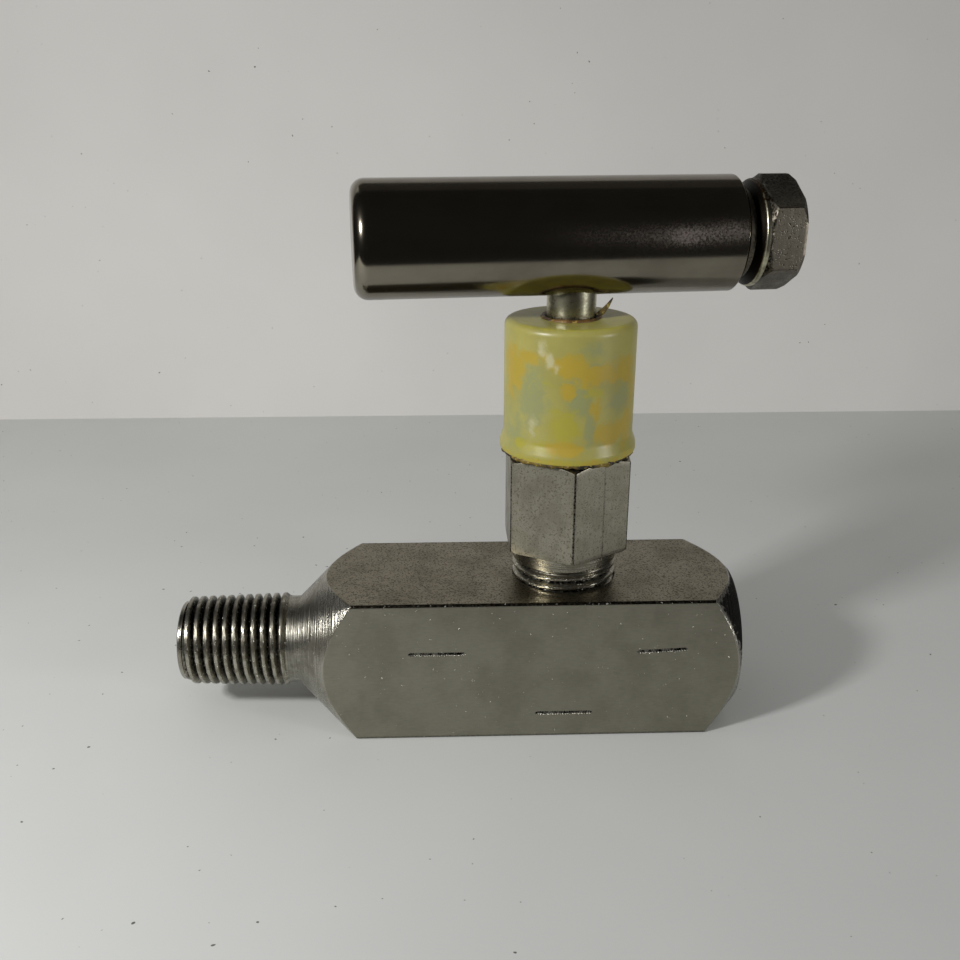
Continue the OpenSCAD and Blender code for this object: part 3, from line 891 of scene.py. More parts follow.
def build(
    name: str,
    rings: np.ndarray,
    finishes: np.ndarray,
    palette: list[Finish],
    loop: bool = False,
    grime_and_shade: np.ndarray | None = None,
) -> bpy.types.Object:
    """Makes a closed mesh from rings of points.

    Each quad joins two rows and two columns. With loop the last row joins the
    first; otherwise each end is closed by a fan to the ring's middle.

    Args:
        name: The object's name.
        rings: Points in millimetres, as rows, columns and x, y, z.
        finishes: Palette number of each band and column; band i ends at row i.
        palette: The finishes, in the order of the mesh's material slots.
        loop: Whether the rows close on themselves.
        grime_and_shade: How dirty each point is, or how dark it is painted as shade or reflection, which
            becomes the grime_and_shade attribute.

    Returns:
        The new object, at the origin.
    """
    rows, columns, _ = rings.shape
    points = rings.reshape(-1, 3)
    index = np.arange(rows * columns).reshape(rows, columns)
    lower = index if loop else index[:-1]
    upper = np.roll(index, -1, axis=0) if loop else index[1:]
    quads = np.stack([lower, np.roll(lower, -1, axis=1), np.roll(upper, -1, axis=1), upper], axis=-1)
    faces = quads.reshape(-1, 4).tolist()
    numbers = (np.roll(finishes, -1, axis=0) if loop else finishes[1:]).ravel().tolist()
    dirt_and_shade = np.zeros((rows, columns)) if grime_and_shade is None else grime_and_shade
    if not loop:
        points = np.vstack([points, rings[0].mean(axis=0), rings[-1].mean(axis=0)])
        first, last, pole = index[0], index[-1], np.full(columns, rows * columns)
        faces += np.stack([np.roll(first, -1), first, pole], axis=-1).tolist()
        faces += np.stack([last, np.roll(last, -1), pole + 1], axis=-1).tolist()
        numbers += [int(finishes[0, 0])] * columns + [int(finishes[-1, 0])] * columns
        dirt_and_shade = np.append(dirt_and_shade, [dirt_and_shade[0, 0], dirt_and_shade[-1, 0]])
    mesh = bpy.data.meshes.new(name)
    mesh.from_pydata((points * MM).tolist(), [], faces)
    for finish in palette:
        mesh.materials.append(material_of(finish))
    mesh.polygons.foreach_set("material_index", numbers)
    mesh.attributes.new("grime_and_shade", "FLOAT", "POINT").data.foreach_set("value", dirt_and_shade.ravel())
    made = bpy.data.objects.new(name, mesh)
    bpy.context.scene.collection.objects.link(made)
    weld(mesh)
    return made


def weld(mesh: bpy.types.Mesh) -> None:
    """Merges doubled points, which also removes faces of no area.

    Args:
        mesh: The mesh to mend.
    """
    work = bmesh.new()
    work.from_mesh(mesh)
    bmesh.ops.remove_doubles(work, verts=work.verts, dist=0.0005 * MM)
    bmesh.ops.dissolve_degenerate(work, edges=work.edges, dist=0.0002 * MM)
    work.to_mesh(mesh)
    work.free()
    mesh.update()


def turn_outward(mesh: bpy.types.Mesh) -> None:
    """Turns a closed mesh's faces outwards.

    Args:
        mesh: The mesh to mend.
    """
    work = bmesh.new()
    work.from_mesh(mesh)
    bmesh.ops.recalc_face_normals(work, faces=work.faces)
    work.to_mesh(mesh)
    work.free()


def coordinates(mesh: bpy.types.Mesh) -> np.ndarray:
    """Reads a mesh's points.

    Args:
        mesh: The mesh.

    Returns:
        One row of x, y and z for each, in metres.
    """
    points = np.empty(len(mesh.vertices) * 3)
    mesh.vertices.foreach_get("co", points)
    return points.reshape(-1, 3)


def build_sheet(
    name: str, sheet: Sheet, axis: Axis, palette: list[Finish], loop: bool = False
) -> bpy.types.Object:
    """Makes a mesh of a sheet on an axis.

    Args:
        name: The object's name.
        sheet: The surface.
        axis: The axis it is turned on.
        palette: The finishes, in the order of the material slots.
        loop: Whether the rows close on themselves.

    Returns:
        The new object.
    """
    numbers = np.array([palette.index(finish) for finish in sheet.finishes])
    finishes = np.repeat(numbers[:, None], sheet.theta.size, axis=1)
    return build(name, axis.place(sheet.rings()), finishes, palette, loop, np.array(sheet.grimes_and_shades))


def cut_away(target: bpy.types.Object, cutter: bpy.types.Object) -> None:
    """Cuts one closed mesh out of another and deletes the cutter.

    Args:
        target: The object that is cut.
        cutter: What is taken out of it.
    """
    cut = target.modifiers.new("cut", "BOOLEAN")
    cut.operation, cut.solver, cut.object = "DIFFERENCE", "MANIFOLD", cutter
    scene_now = bpy.context.evaluated_depsgraph_get()
    result = bpy.data.meshes.new_from_object(target.evaluated_get(scene_now))
    target.modifiers.remove(cut)
    old = target.data
    result.name = old.name
    target.data = result
    bpy.data.meshes.remove(old)
    bpy.data.objects.remove(cutter)


def finish_piece(piece: bpy.types.Object, body: str, slot: str, *nodes: str, keen: float = 28.0) -> None:
    """Shades a piece, fixes it to its body and lets it stand for its CAD nodes.

    Args:
        piece: The piece.
        body: The CAD body that it rides on.
        slot: Not used.
        *nodes: The CAD nodes that it replaces.
        keen: Edges that bend by more than this many degrees stay sharp.
    """
    piece.data.shade_smooth()
    piece.data.set_sharp_from_angle(angle=math.radians(keen))
    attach(piece, body)
    if nodes:
        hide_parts(*nodes)
    LOG.info("%s: %d faces on %s", piece.name, len(piece.data.polygons), body)


def box_mm(node: str) -> tuple[np.ndarray, np.ndarray]:
    """Lowest and highest corner of a CAD node, in millimetres.

    Args:
        node: The node's name.

    Returns:
        The two corners.
    """
    low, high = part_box(node)
    return np.array(low) / MM, np.array(high) / MM


# ---------------------------------------------------------------- assemblies


@dataclass
class ValveBody:
    """The square body with its male thread, turned ends, bores and stamped lines.

    Heights are counted from the table, and places along the flow from the needle's
    axis. The grimes say how dirty a place is, and end_grime_and_shade says how the outlet chamfer's
    painted dark reflection rises and then falls with the cosine of the angle from straight down.
    """

    neck_radius: float = 6.6
    neck_length: float = 1.45
    shoulder_x: float = -40.43
    outlet_face_radius: float = 10.45
    outlet_slope: float = 0.9325
    edge_fillet: float = 0.35
    pipe_pitch: float = 1.411
    pipe_tip_radius: float = 6.63
    pipe_depth: float = 1.0
    pipe_taper: float = 0.03125
    pipe_face_radius: float = 5.95
    pipe_lead: float = 0.62
    tip_chamfer: float = 0.15
    neck_grime: float = 0.3
    shoulder_grime: float = 0.25
    end_grime_and_shade: tuple[float, float] = (0.3, -4.2)
    inlet_radius: float = 2.38
    inlet_floor: float = 5.18
    seat_radius: float = 4.62
    seat_floor: float = 8.59
    chamber_radius: float = 5.25
    passage_radius: float = 1.85
    bonnet_hole_radius: float = 7.8
    port_radius: float = 5.556
    port_depth: float = 15.4
    port_thread_depth: float = 1.05
    port_sink: float = 1.5
    port_lead: float = 3.0
    drill_point: float = math.radians(59)
    hatch: float = 0.36
    stamp_width: float = 0.6
    stamp_depth: float = 0.13
    stamp_ripple: float = 0.06
    stamp_grime: float = 0.85
    stamp_lines: tuple[tuple[tuple[float, float], tuple[float, float]], ...] = (
        ((-23.51, 14.25), (-15.11, 14.25)), ((9.84, 14.11), (17.3, 14.46)), ((-4.88, 4.03), (3.64, 4.02)),
    )
    bore_over: float = 0.5
    edge_ease: float = 0.16
    flat_rows: int = 150
    pipe_steps: int = 24
    port_steps: int = 16
    columns: int = 256
    bore_columns: int = 96
    port_columns: int = 192
    palette: tuple[Finish, ...] = (
        Finish.TURNED_END, Finish.BAR_FACE, Finish.TOP_FACE, Finish.BAR_EDGE_PAINTED_DARK, Finish.THREAD, Finish.BORE,
    )

    def __post_init__(self) -> None:
        """Reads the overall sizes from the frame."""
        low, high = box_mm("body")
        self.tip_x, self.outlet_x = low[0], high[0]
        self.width = high[2] - low[2]
        self.axis = Axis((0.0, 0.0, self.width / 2), level=True)
        self.seat_top = box_mm("seat_ring")[1][2]
        self.shelf = box_mm("bonnet_gasket")[0][2]

    def pipe_thread(self) -> Screw:
        """The male thread, from its lead-in to its plain neck."""
        return Screw(
            self.tip_x + self.pipe_lead, self.shoulder_x - self.neck_length, self.pipe_pitch,
            self.pipe_depth, runout=(0.02, 1.6), phase=0.0, crest=0.32, root=0.06, ease=0.06,
        )

    def outside(self) -> Sheet:
        """The outer surface: tip, tapered thread, neck, shoulder, flats and end chamfer.

        Returns:
            The surface, turned on the flow axis.
        """
        sheet = Sheet(corner_columns(self.columns, 4, math.pi / 4, CORNER_REACH))
        face, lead, chamfer = self.pipe_face_radius, self.pipe_lead, self.tip_chamfer
        for radius, height in ((3.0, 0.0), (face - chamfer, 0.0), (face, chamfer), (face, lead - 0.04)):
            sheet.row(radius, self.tip_x + height, Finish.TURNED_END)
        self.thread_rows(sheet)
        end = self.pipe_thread().end
        sheet.turned(
            [(self.neck_radius, end + 0.1), (self.neck_radius, self.shoulder_x - 0.12)],
            Finish.TURNED_END, grime_and_shade=self.neck_grime,
        )
        flat = polygon_radius(sheet.theta, 4, self.width, math.pi / 4, self.edge_fillet)
        # Minus the cosine is how far a column faces up; where it does, the chamfer is painted black, a
        # painted reflection of the dark room above, and the flats are painted dark near their corners, a
        # painted reflection too
        upward = np.clip(self.end_grime_and_shade[0] + self.end_grime_and_shade[1] * np.cos(sheet.theta), 0, 3)
        milled_rows(
            sheet, flat,
            (self.neck_radius + 0.05, self.shoulder_x, 1.0),
            (self.outlet_face_radius, self.outlet_x - 0.06, self.outlet_slope),
            self.flat_rows, self.edge_ease, (Finish.TURNED_END, Finish.BAR_FACE, Finish.TURNED_END),
            corner_share(sheet.theta, 4, math.pi / 4, CORNER_REACH) * 0.6, (self.shoulder_grime, upward),
        )
        sheet.row(self.outlet_face_radius - 0.2, self.outlet_x, Finish.TURNED_END)
        sheet.row(4.0, self.outlet_x, Finish.TURNED_END)
        return sheet

    def thread_rows(self, sheet: Sheet) -> None:
        """Adds the rows of the male thread.

        The crest grows by the taper, but the lead-in chamfer holds the first
        turn down, and at the other end it comes down to the neck.

        Args:
            sheet: The surface to add to.
        """
        thread = self.pipe_thread()
        root = self.pipe_tip_radius - self.pipe_depth
        # The flanks that face up are painted dark, a painted reflection of the dark room above, and the roots
        # darker with the cut's depth, painted shade with the dirt that gathers there
        darkening = np.clip(-1.7 * np.cos(sheet.theta) - 0.75, 0, 0.75)
        for height in thread.heights(self.pipe_steps):
            rise = height - thread.start
            crest = min(self.pipe_tip_radius + rise * self.pipe_taper, self.pipe_face_radius + rise * 1.6)
            crest += (self.neck_radius - crest) * float(np.clip((height - thread.end + 0.6) / 0.6, 0, 1))
            cut = np.minimum(thread.cut_at(height, sheet.theta), crest - root)
            dirt_and_shade = np.clip(1.6 * cut / thread.depth - 0.5 + darkening, 0, 1.6)
            sheet.row(crest - cut, height, Finish.THREAD, dirt_and_shade)

    def bore(self, name: str, axis: Axis, points: list[tuple[float, float]]) -> bpy.types.Object:
        """A plain turned cutter.

        Args:
            name: Its name.
            axis: The axis it is turned on.
            points: Radius and height of each corner.

        Returns:
            The cutter.
        """
        sheet = Sheet.even(self.bore_columns)
        sheet.turned(points, Finish.BORE)
        return build_sheet(name, sheet, axis, list(self.palette))

    def port(self) -> bpy.types.Object:
        """The female pipe thread with its countersink and the cone that the drill left.

        Returns:
            The cutter.
        """
        sheet = Sheet.even(self.port_columns)
        bottom = self.outlet_x - self.port_depth
        tip = bottom - self.port_radius / math.tan(self.drill_point)
        mouth = self.outlet_x - self.port_sink
        thread = Screw(
            bottom + self.port_lead, mouth + 0.2, self.pipe_pitch, self.port_thread_depth,
            runout=(3.0, 0.3), phase=0.3, crest=0.2, root=0.1,
        )
        sheet.row(0.02, tip, Finish.BORE)
        sheet.row(self.port_radius, bottom, Finish.BORE)
        sheet.row(self.port_radius, bottom + self.port_lead - 0.1, Finish.BORE)
        for height in thread.heights(self.port_steps):
            # In a hole the crest stands at the drilled wall and the groove goes outwards
            groove = thread.cut_at(height, sheet.theta)
            fade = 0.6 + 0.4 * (height - thread.start) / (thread.end - thread.start)
            # The groove is painted darker with its depth: painted shade, and the dirt that gathers there
            sheet.row(self.port_radius + groove * fade, height, Finish.THREAD, groove / thread.depth)
        sheet.row(self.port_radius + 0.3, mouth + 0.3, Finish.BORE)
        sheet.row(self.port_radius + self.port_sink, self.outlet_x, Finish.TURNED_END)
        sheet.row(self.port_radius + self.port_sink + 1, self.outlet_x + 1, Finish.TURNED_END)
        return build_sheet("port_cutter", sheet, self.axis, list(self.palette))

    def stamped_line(self, start: tuple[float, float], end: tuple[float, float]) -> bpy.types.Object:
        """A straight stamped groove with a hatched floor in the front face.

        Rings of four points run from one end to the other. The outer pair
        stands proud of the face. The inner pair lies on the floor, whose depth
        ripples with the sine of the place along the line.

        Args:
            start: X and Z of one end.
            end: X and Z of the other.

        Returns:
            The cutter.
        """
        along = np.array(end) - np.array(start)
        length = float(np.linalg.norm(along))
        along /= length
        across = np.array([-along[1], along[0]])
        places = np.linspace(0, length, int(length / self.hatch * 6) + 1)
        half = self.stamp_width / 2
        swell = np.sqrt(np.clip(np.minimum(places, length - places) / half, 0.05, 1))
        ripple = self.stamp_ripple * np.sin(TURN * places / self.hatch)
        floor = (self.stamp_depth + ripple) * swell
        centre = np.array(start) + along * places[:, None]
        face = -self.width / 2
        rings = []
        for side, deep in ((1.9, False), (-1.9, False), (-0.55, True), (0.55, True)):
            sideways = centre + across * (side * swell * half)[:, None]
            into = face + floor if deep else np.full(places.shape, face - 0.3)
            rings.append(np.stack([sideways[:, 0], into, sideways[:, 1]], axis=-1))
        points = np.stack(rings, axis=1)
        numbers = np.full(points.shape[:2], self.palette.index(Finish.TURNED_END))
        dirt_and_shade = np.tile([0.0, 0.0, self.stamp_grime, self.stamp_grime], (places.size, 1))
        made = build("stamp", points, numbers, list(self.palette), grime_and_shade=dirt_and_shade)
        turn_outward(made.data)
        return made

    def make(self) -> None:
        """Builds the body and cuts its bores."""
        palette = list(self.palette)
        sheet = self.outside()
        numbers = np.array([palette.index(finish) for finish in sheet.finishes])
        numbers = np.repeat(numbers[:, None], sheet.theta.size, axis=1)
        # The column at half a turn faces up, and an eighth of a turn each side is the top face
        middle = sheet.theta + (np.roll(sheet.theta, -1) - sheet.theta) % TURN / 2
        from_up = np.abs(middle - math.pi)
        flats = numbers == palette.index(Finish.BAR_FACE)
        numbers[flats & (from_up < math.pi / 4)] = palette.index(Finish.TOP_FACE)
        # The rounded edges between the faces take the black edge finish: a painted reflection of the dark
        # room
        edge = np.abs(from_up - math.pi / 4) < CORNER_REACH * 0.6
        numbers[flats & edge] = palette.index(Finish.BAR_EDGE_PAINTED_DARK)
        piece = build(
            "valve_body", self.axis.place(sheet.rings()), numbers, palette, grime_and_shade=np.array(sheet.grimes_and_shades)
        )
        passage_z, passage_end = (self.seat_top + self.shelf) / 2, self.outlet_x - self.port_depth + 1
        cutters = [
            self.port(),
            self.bore(
                "passage", Axis((0.0, 0.0, passage_z), level=True),
                [(self.passage_radius, 3.0), (self.passage_radius, passage_end)],
            ),
        ]
        for name, radius, low, high in (
            ("bonnet_hole", self.bonnet_hole_radius, self.shelf, self.width),
            ("chamber", self.chamber_radius, self.seat_top, self.shelf),
            ("seat_pocket", self.seat_radius, self.seat_floor, self.seat_top),
            ("orifice", self.inlet_radius, self.inlet_floor, self.seat_floor),
        ):
            cutters.append(self.bore(name, UPRIGHT, [(radius, low), (radius, high + self.bore_over)]))
        cutters.append(self.inlet(math.atan((self.width / 2 - self.inlet_floor) / -self.tip_x)))
        cutters += [self.stamped_line(start, end) for start, end in self.stamp_lines]
        for cutter in cutters:
            cut_away(piece, cutter)
        finish_piece(piece, "valve", "body_steel", "body")

    def inlet(self, slant: float) -> bpy.types.Object:
        """The slanting inlet bore: a level cutter turned down about Y and moved to the tip.

        Args:
            slant: Its angle below the flow axis, in radians.

        Returns:
            The cutter.
        """
        cos, sin = math.cos(slant), math.sin(slant)
        length = -self.tip_x / cos
        cutter = self.bore(
            "inlet", Axis((0.0, 0.0, 0.0), level=True),
            [(self.inlet_radius, -2.0), (self.inlet_radius, length), (0.02, length + 1.4)],
        )
        turn = np.array([[cos, 0.0, sin], [0.0, 1.0, 0.0], [-sin, 0.0, cos]])
        mouth = np.array([self.tip_x, 0.0, self.width / 2]) * MM
        points = coordinates(cutter.data) @ turn.T + mouth
        cutter.data.vertices.foreach_set("co", points.ravel())
        cutter.data.update()
        return cutter


@dataclass
class Bonnet:
    """The screwed bonnet with its hexagon and collar.

    The draw line is a fine line down the flat to the right of the front corner,
    given by its angle from +X.
    """

    thread_radius: float = 7.75
    pitch: float = 1.411
    depth: float = 0.87
    lead: float = 0.3
    plain_neck: float = 2.3
    hex_bottom: float = 27.493
    hex_width: float = 17.15
    hex_fillet: float = 0.25
    hex_turn: float = math.radians(0.84)
    draw_line: float = math.radians(-57.0)
    cap_gap: float = 0.25
    collar_radius: float = 8.3
    lower_bore: float = 5.15
    stem_bore: float = 4.02
    back_seat: float = 21.37
    packing_floor: float = 28.493
    packing_height: float = 3.82
    packing_radius: float = 5.45
    hex_chamfer: float = math.radians(30)
    edge_ease: float = 0.1
    flat_rows: int = 24
    thread_steps: int = 22
    columns: int = 240

    def make(self) -> None:
        """Builds the bonnet as one closed skin, up the outside and down the bore."""
        low, high = box_mm("bonnet")
        bottom, top = low[2], high[2]
        hex_top = box_mm("dust_cap")[0][2] - self.cap_gap
        front = self.hex_turn - math.pi / 2
        sheet = Sheet(corner_columns(self.columns, 6, front, CORNER_REACH))
        root = self.thread_radius - self.depth
        thread_end = self.hex_bottom - self.plain_neck + self.lead
        thread = Screw(
            bottom + self.lead, thread_end, self.pitch, self.depth,
            runout=(0.1, 1.0), phase=0.864, crest=0.22, root=0.12,
        )
        sheet.row(self.lower_bore + 0.2, bottom, Finish.NECK)
        sheet.row(root - 0.1, bottom, Finish.NECK)
        for height in thread.heights(self.thread_steps):
            crest = min(self.thread_radius, root + (height - bottom) * 0.9)
            cut = np.minimum(thread.cut_at(height, sheet.theta), crest - root + 0.02)
            finish = Finish.THREAD if height < thread.end - 1.0 else Finish.NECK
            # The roots are painted darker with the cut's depth: painted shade, and the dirt that gathers
            # there
            sheet.row(crest - cut, height, finish, np.clip(1.7 * cut / thread.depth - 0.5, 0, 1))
        sheet.turned(
            [(self.thread_radius, thread.end + 0.1), (self.thread_radius - 0.04, self.hex_bottom - 0.25),
             (self.thread_radius + 0.2, self.hex_bottom)],
            Finish.NECK, 0.1,
        )
        corner = self.hex_width / math.sqrt(3)
        flat = polygon_radius(sheet.theta, 6, self.hex_width, front, self.hex_fillet)
        slope = math.tan(self.hex_chamfer)
        # The hexagon's corners are painted dark: a painted reflection of the dark room in their rounding
        dark = corner_share(sheet.theta, 6, front, CORNER_REACH) * 0.9
        # A drawing die left one fine line down a flat
        line = np.exp(-(((sheet.theta - TURN - self.draw_line) / math.radians(0.8)) ** 2))
        dark = np.clip(dark + 0.5 * line, 0, 1)
        milled_rows(
            sheet, flat, (corner - 0.4, self.hex_bottom, slope), (self.collar_radius + 0.02, hex_top, slope),
            self.flat_rows, self.edge_ease, (Finish.NECK, Finish.HEX_FACE, Finish.NECK), dark, (0.0, 1.0),
        )
        bore, chamfer, packing_top = self.stem_bore, 0.4, self.packing_floor + self.packing_height
        sheet.turned(
            [
                (self.collar_radius, hex_top + 0.02), (self.collar_radius, top - chamfer),
                (self.collar_radius - chamfer, top), (bore + chamfer, top), (bore, top - chamfer),
                (bore, packing_top), (self.packing_radius, packing_top),
                (self.packing_radius, self.packing_floor), (bore, self.packing_floor),
                (bore, self.back_seat + self.lower_bore - bore), (self.lower_bore, self.back_seat),
                (self.lower_bore, bottom + 0.2),
            ],
            Finish.NECK, 0.05,
        )
        palette = [Finish.NECK, Finish.HEX_FACE, Finish.THREAD]
        piece = build_sheet("hexagon_bonnet", sheet, UPRIGHT, palette, loop=True)
        finish_piece(piece, "valve", "bonnet_steel", "bonnet")


@dataclass(frozen=True)
class Patch:
    """A discoloured place on the cap's wall.

    Attributes:
        channel: What it is: 0 for amber grease, 1 for metal behind, 2 for a scuff, 3 for olive grease.
        angle: Its middle round the cap, in degrees from +X.
        height: Its middle above the table.
        half_angle: Half its width, in degrees.
        half_height: Half its height.
        strength: How strong it is in its middle, from 0 to 1.
    """

    channel: int
    angle: float
    height: float
    half_angle: float
    half_height: float
    strength: float = 1.0

    def share(self, angle: np.ndarray, height: np.ndarray) -> np.ndarray:
        """How strongly it colours each point, as a bell curve over an ellipse.

        Args:
            angle: Angles of the points, in degrees.
            height: Their heights.

        Returns:
            The strengths.
        """
        away = (angle - self.angle + 180) % 360 - 180
        return self.strength * np.exp(
            -((away / self.half_angle) ** 2) - ((height - self.height) / self.half_height) ** 2
        )


@dataclass
class DustCap:
    """The moulded cap over the bonnet's collar."""

    wall: float = 0.97
    top_thickness: float = 1.2
    flare: float = 0.53
    rim_height: float = 1.0
    taper_height: float = 1.5
    round_edge: float = 1.0
    stem_hole: float = 3.5
    stain_height: float = 1.1
    columns: int = 256
    wall_rows: int = 56
    patches: tuple[Patch, ...] = (
        # Amber grease
        Patch(0, -155, 55.0, 20, 4.2, 0.75), Patch(0, -96, 56.2, 18, 1.9, 0.95),
        Patch(0, -72, 55.0, 26, 1.8, 0.85), Patch(0, -97, 52.9, 9, 1.5, 0.75),
        Patch(0, -99, 44.7, 17, 1.1, 0.9), Patch(0, -56, 46.4, 24, 2.6, 0.66),
        Patch(0, -38, 46.8, 20, 4.0, 0.6), Patch(0, -42, 55.2, 26, 2.0, 0.66),
        Patch(0, -132, 57.2, 28, 1.3, 0.6), Patch(0, -74, 50.2, 7, 2.2, 0.62),
        Patch(0, 60, 50, 40, 4, 0.6), Patch(0, 150, 47, 30, 3, 0.6), Patch(0, -28, 52, 16, 5, 0.5),
        # The collar behind the wall
        Patch(1, -129, 51.6, 19, 6, 0.68), Patch(1, -87, 51.6, 13, 2.7, 0.85),
        Patch(1, -78, 47.6, 6, 3.6, 0.85), Patch(1, -91, 54.4, 14, 0.7, 0.8),
        Patch(1, -76, 56.2, 12, 0.7, 0.8), Patch(1, -150, 46, 24, 5, 0.5),
        Patch(1, -78, 58.5, 16, 1.6, 0.5), Patch(1, 100, 53, 25, 4, 0.6),
        Patch(1, 20, 47, 20, 4, 0.6), Patch(1, -46, 51.2, 18, 3.2, 0.64),
        # Scuffs
        Patch(2, -121, 58.4, 6, 1.6, 0.58), Patch(2, -114, 57.0, 5, 1.4, 0.58),
        Patch(2, -108, 55.6, 3, 1.0, 0.56), Patch(2, -128, 47.5, 6, 2.4, 0.44),
        # Olive grease
        Patch(3, -100, 48.0, 17, 2.8, 0.8), Patch(3, -120, 44.6, 40, 1.3, 0.6),
        Patch(3, -95, 54.0, 60, 3.0, 0.36), Patch(3, -75, 52.6, 12, 1.0, 0.6),
    )

    def make(self) -> None:
        """Builds the cap as one closed skin, up the outside and down the inside."""
        low, high = box_mm("dust_cap")
        bottom, top = low[2], high[2]
        outer = high[0] - self.flare
        inner = outer - self.wall
        rim = high[0]
        shoulder = bottom + self.rim_height + self.taper_height
        sheet = Sheet.even(self.columns)
        sheet.turned(
            [
                (inner + 0.1, bottom), (rim, bottom), (rim, bottom + self.rim_height), (outer, shoulder),
                (outer, shoulder + 0.8),
            ],
            Finish.CAP, 0.25,
        )
        for height in np.linspace(shoulder + 1.0, top - self.round_edge, self.wall_rows):
            sheet.row(outer, height, Finish.CAP)
        for angle in np.linspace(0, math.pi / 2, 9)[1:]:
            sheet.row(
                outer - self.round_edge * (1 - math.cos(angle)),
                top - self.round_edge * (1 - math.sin(angle)),
                Finish.CAP,
            )
        ceiling = top - self.top_thickness
        sheet.turned(
            [
                (outer - self.round_edge - 0.05, top), (self.stem_hole, top), (self.stem_hole, ceiling),
                (inner, ceiling), (inner, bottom + 0.1), (inner + 0.1, bottom),
            ],
            Finish.CAP, 0.12,
        )
        piece = build_sheet("dust_cap_moulding", sheet, UPRIGHT, [Finish.CAP], loop=True)
        self.stain(piece.data)
        finish_piece(piece, "valve", "cap_plastic", "dust_cap")

    def stain(self, mesh: bpy.types.Mesh) -> None:
        """Writes the patches attribute, where each channel takes its strongest patch.

        Args:
            mesh: The cap's mesh.
        """
        across, depth, height = (coordinates(mesh) / MM).T
        angle = np.degrees(np.arctan2(depth, across))
        colours = np.zeros((height.size, 4))
        for patch in self.patches:
            channel = colours[:, patch.channel]
            np.maximum(channel, patch.share(angle, height), out=channel)
        # Dust and grease have dulled the flat top
        top = height > height.max() - 0.2
        colours[top, 2], colours[top, 3] = 0.16, 0.42
        # Compound has stained the foot of the rim, less and less up it
        foot = np.exp(-(((height - height.min()) / self.stain_height) ** 2))
        for number, strength in ((0, 0.46), (3, 0.7)):
            channel = colours[:, number]
            np.maximum(channel, strength * foot, out=channel)
        attribute = mesh.attributes.new("patches", "FLOAT_COLOR", "POINT")
        attribute.data.foreach_set("color", colours.ravel())


@dataclass
class Seepage:
    """Old grease and thread compound that has crept out round the cap and the stem.

    The shaving starts at the first of its three points and ends at the last, and
    bends towards the one between them.
    """

    shaving: tuple[tuple[float, float, float], ...] = (
        (3.2, -1.6, 61.6), (4.3, -1.3, 61.9), (5.6, -0.9, 64.0),
    )
    columns: int = 240
    rows: int = 12

    def bead(
        self,
        name: str,
        radius: float,
        height: float,
        size: tuple[float, float],
        finish: Finish,
        lumps: tuple[tuple[float, float, float], ...],
    ) -> None:
        """Builds a lumpy ring: a tube round a circle, whose size varies as a sum of sines.

        Args:
            name: Its name.
            radius: Radius of the circle.
            height: Height of the circle.
            size: Half the tube's width and height.
            finish: Its finish.
            lumps: Waves in a turn, share of the size, and phase of each sine.
        """
        sheet = Sheet.even(self.columns)
        swell = 1 + sum(share * np.sin(waves * sheet.theta + phase) for waves, share, phase in lumps)
        for angle in np.arange(self.rows) * (TURN / self.rows):
            sheet.row(
                radius + size[0] * swell * math.cos(angle),
                height + size[1] * swell * math.sin(angle),
                finish,
            )
        piece = build_sheet(name, sheet, UPRIGHT, [finish], loop=True)
        finish_piece(piece, "valve", "cap_plastic", keen=60)

    def sliver(self) -> None:
        """Builds a thin curled shaving that lies on the cap beside the stem.

        Its middle follows a parabola, and an ellipse is swept along it that
        thins out towards both ends.
        """
        share = np.linspace(0, 1, 25)[:, None]
        start, lean, end = (np.array(point) for point in self.shaving)
        middle = (1 - share) ** 2 * start + 2 * share * (1 - share) * lean + share**2 * end
        thick = 0.06 + 0.34 * np.sin(np.pi * share**0.7) ** 0.8
        around = np.linspace(0, TURN, 10, endpoint=False)
        side, rise = np.array([-0.8, 0.0, 0.6]), np.array([0.1, 1.0, 0.0])
        ring = np.cos(around)[:, None] * side + 0.4 * np.sin(around)[:, None] * rise
        points = middle[:, None, :] + thick[:, None] * ring[None, :, :]
        numbers = np.zeros(points.shape[:2], int)
        piece = build("shaving", points, numbers, [Finish.COMPOUND])
        turn_outward(piece.data)
        finish_piece(piece, "valve", "cap_plastic", keen=60)

    def make(self) -> None:
        """Builds the three pieces."""
        rim = box_mm("dust_cap")
        self.bead(
            "compound_under_rim", 9.25, rim[0][2] - 0.1, (0.48, 0.42), Finish.COMPOUND,
            ((5, 0.14, 1.0), (13, 0.14, 2.2), (29, 0.16, 0.4), (53, 0.12, 1.7)),
        )
        self.bead(
            "grease_round_stem", 3.85, rim[1][2] + 0.02, (0.42, 0.28), Finish.GREASE,
            ((3, 0.16, 0.3), (7, 0.12, 2.0), (17, 0.1, 1.1)),
        )
        self.sliver()


